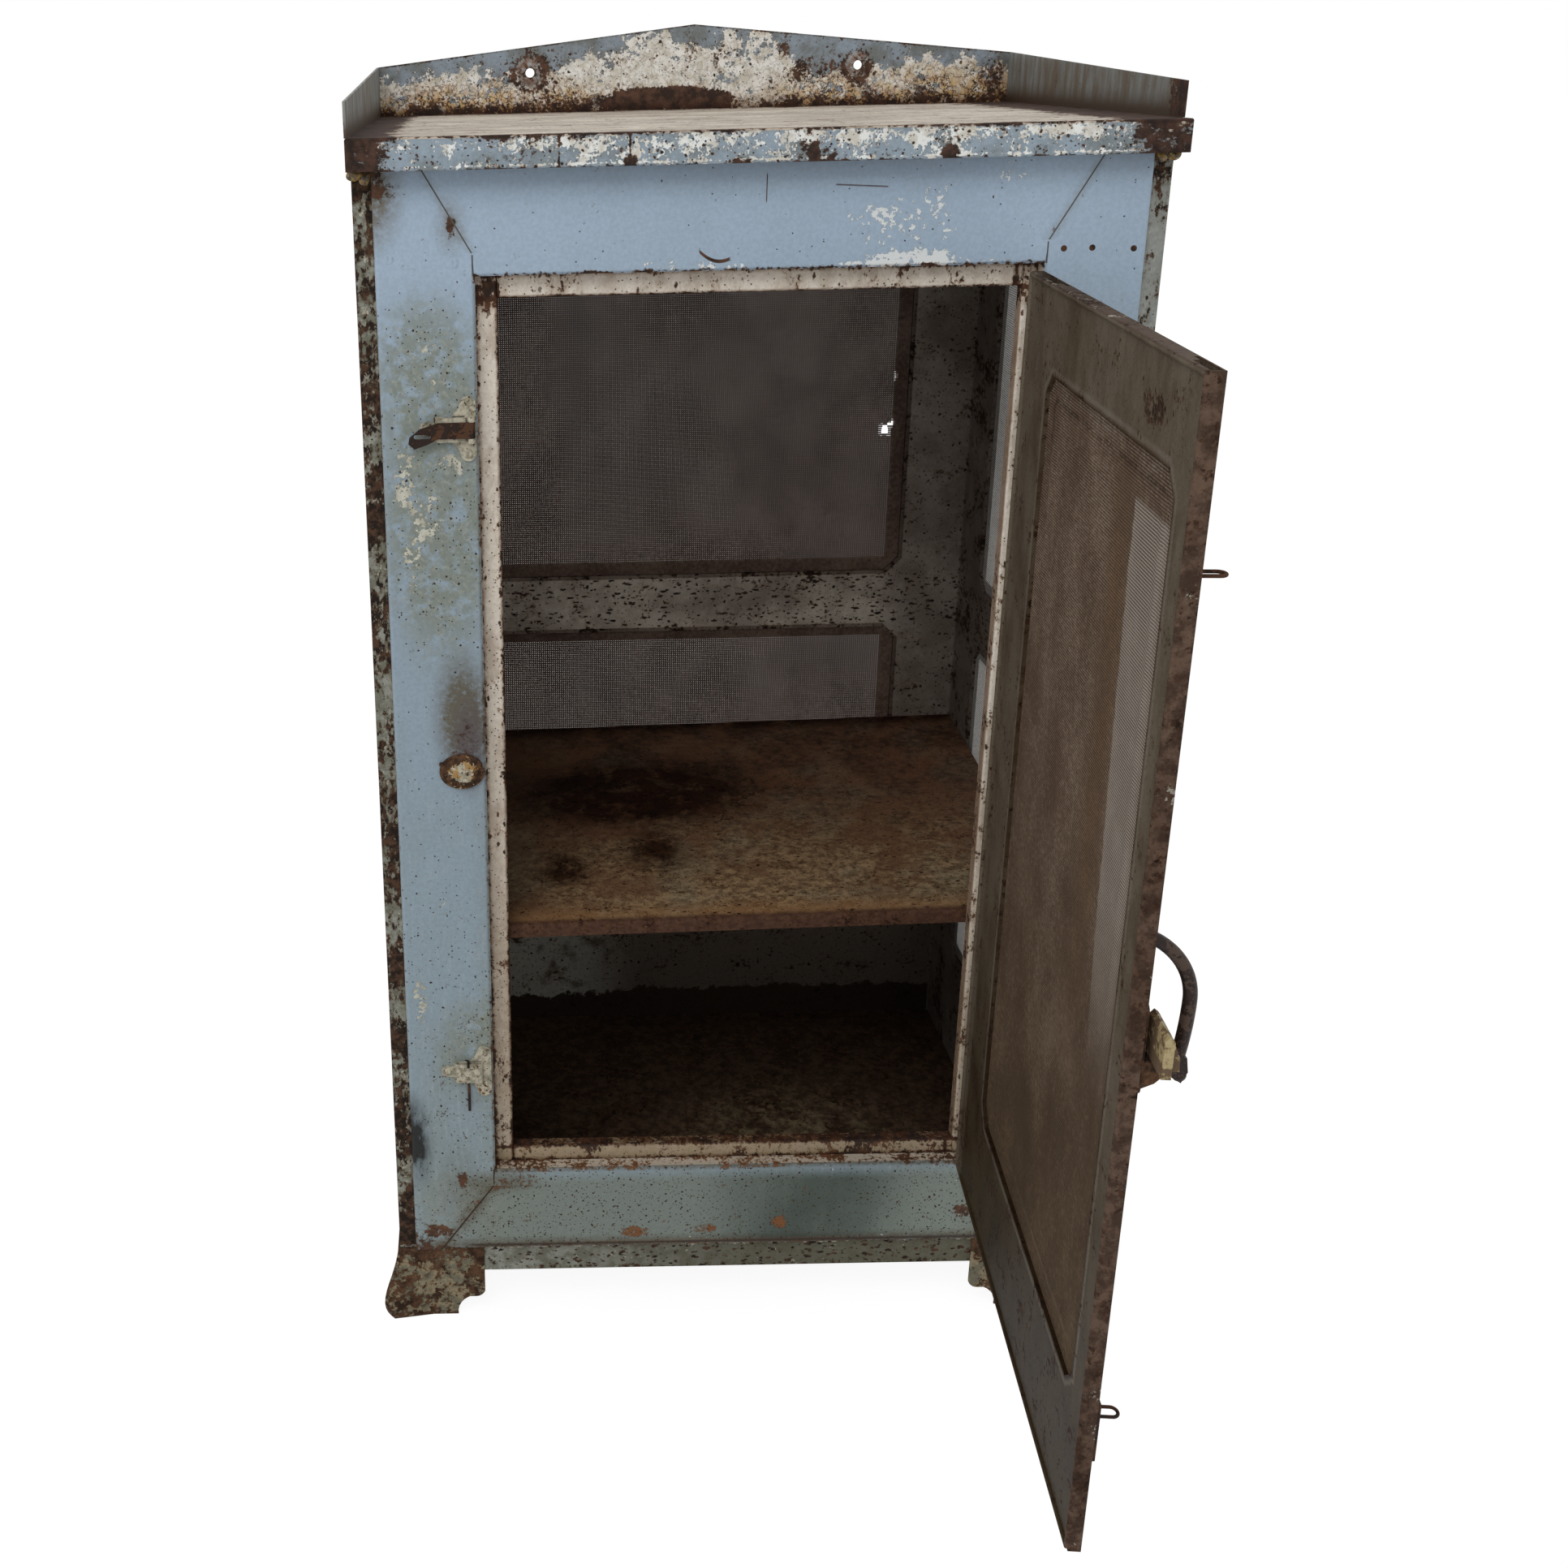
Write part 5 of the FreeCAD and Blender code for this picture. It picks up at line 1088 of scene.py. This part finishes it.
def looked_at(s):
    """1 for camera, glossy and transmission rays."""
    path = s.raw("ShaderNodeLightPath", {}, {})
    camera, glossy, through = (Term(s, path.outputs["Is %s Ray" % ray])
                               for ray in ("Camera", "Glossy", "Transmission"))
    return camera.most(glossy).most(through)


def stage_floor(look):
    """Pale floor: plain for light, and mixed with white where it is looked at, so the shadow stays."""
    s = new_material("floor")
    s.feed(Base_Color=(*look.floor_colour, 1.0), Roughness=0.9)
    plain = Term(s, s.surface.outputs[0])
    glow = s.node("ShaderNodeEmission", {}, {"Strength": look.floor_glow})
    both = s.node("ShaderNodeMixShader", {}, {0: looked_at(s) * look.floor_share, 1: plain, 2: glow})
    s.tree.links.new(both.socket, s.tree.nodes["Material Output"].inputs["Surface"])
    return s.material


def stage_world(scene, sky):
    """Even light from all round, and white where it is looked at."""
    scene.world = scene.world or bpy.data.worlds.new("world")
    scene.world.use_nodes = True
    s = Sheet(scene.world.node_tree)
    s.tree.nodes.clear()
    even, white = (s.node("ShaderNodeBackground", {}, {"Color": (1.0, 1.0, 1.0, 1.0), "Strength": strength})
                   for strength in (sky, 1.0))
    both = s.node("ShaderNodeMixShader", {}, {0: looked_at(s), 1: even, 2: white})
    s.raw("ShaderNodeOutputWorld", {}, {0: both})


class SAFE_OT_stage(bpy.types.Operator):
    """Sets the pale floor, the soft light and the camera"""
    bl_idname = "safe.stage"
    bl_label = "Stage"

    def execute(self, context):
        look = context.scene.safe_stage
        scene = context.scene
        mesh = bpy.data.meshes.new("floor")
        mesh.from_pydata([(-30, -30, 0), (30, -30, 0), (30, 30, 0), (-30, 30, 0)], [], [(0, 1, 2, 3)])
        mesh.materials.append(stage_floor(look))
        floor = bpy.data.objects.new("floor", mesh)
        scene.collection.objects.link(floor)
        stage_world(scene, look.sky)

        lamp = bpy.data.lights.new("key", "AREA")
        lamp.energy = look.key
        lamp.shape = "RECTANGLE"
        lamp.size = 1.8
        lamp.size_y = 1.4
        key = bpy.data.objects.new("key", lamp)
        key.location = (-1.1, -2.0, 2.9)
        key.rotation_euler = (math.radians(42), 0.0, math.radians(-24))
        scene.collection.objects.link(key)

        eye = bpy.data.cameras.new("camera")
        eye.sensor_width = 36.0
        eye.lens = look.lens
        eye.shift_x = 0.1965
        eye.shift_y = -0.09691
        eye.clip_start = 0.05
        eye.clip_end = 100.0
        camera = bpy.data.objects.new("camera", eye)
        right = (0.9997255, 0.0013977, -0.0233891)
        forward = (-0.0089728, 0.9449619, -0.3270572)
        up = (0.0216447, 0.3271773, 0.9447151)
        camera.matrix_world = Matrix((
            (right[0], up[0], -forward[0], -0.2152883),
            (right[1], up[1], -forward[1], -1.3225312),
            (right[2], up[2], -forward[2], 1.163989),
            (0.0, 0.0, 0.0, 1.0)))
        scene.collection.objects.link(camera)
        scene.camera = camera
        scene.view_settings.view_transform = "Standard"
        return {"FINISHED"}


class SAFE_PT_panel(bpy.types.Panel):
    """Lists the steps that dress the safe"""
    bl_label = "Pie safe"
    bl_idname = "SAFE_PT_panel"
    bl_space_type = "VIEW_3D"
    bl_region_type = "UI"
    bl_category = "Pie safe"

    def draw(self, context):
        for sizes in (context.scene.safe_gauze, context.scene.safe_stage):
            for name in sizes.__annotations__:
                self.layout.prop(sizes, name)
        for step in STEPS:
            self.layout.operator(step.bl_idname)


GROUPS = {"safe_gauze": GauzeSizes, "safe_stage": StageLook}
STEPS = (SAFE_OT_paint, SAFE_OT_back_gauze, SAFE_OT_side_gauze, SAFE_OT_door_gauze, SAFE_OT_fixings,
         SAFE_OT_welds, SAFE_OT_stage)
CLASSES = (*GROUPS.values(), *STEPS, SAFE_PT_panel)


def register():
    """Adds the classes and their settings to Blender."""
    for kind in CLASSES:
        bpy.utils.register_class(kind)
    for name, kind in GROUPS.items():
        setattr(bpy.types.Scene, name, bpy.props.PointerProperty(type=kind))


def unregister():
    """Takes them out again."""
    for name in GROUPS:
        delattr(bpy.types.Scene, name)
    for kind in reversed(CLASSES):
        bpy.utils.unregister_class(kind)


def main():
    """Registers the add-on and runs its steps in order."""
    register()
    for step in STEPS:
        family, name = step.bl_idname.split(".")
        getattr(getattr(bpy.ops, family), name)()


if __name__ == "__main__":
    main()
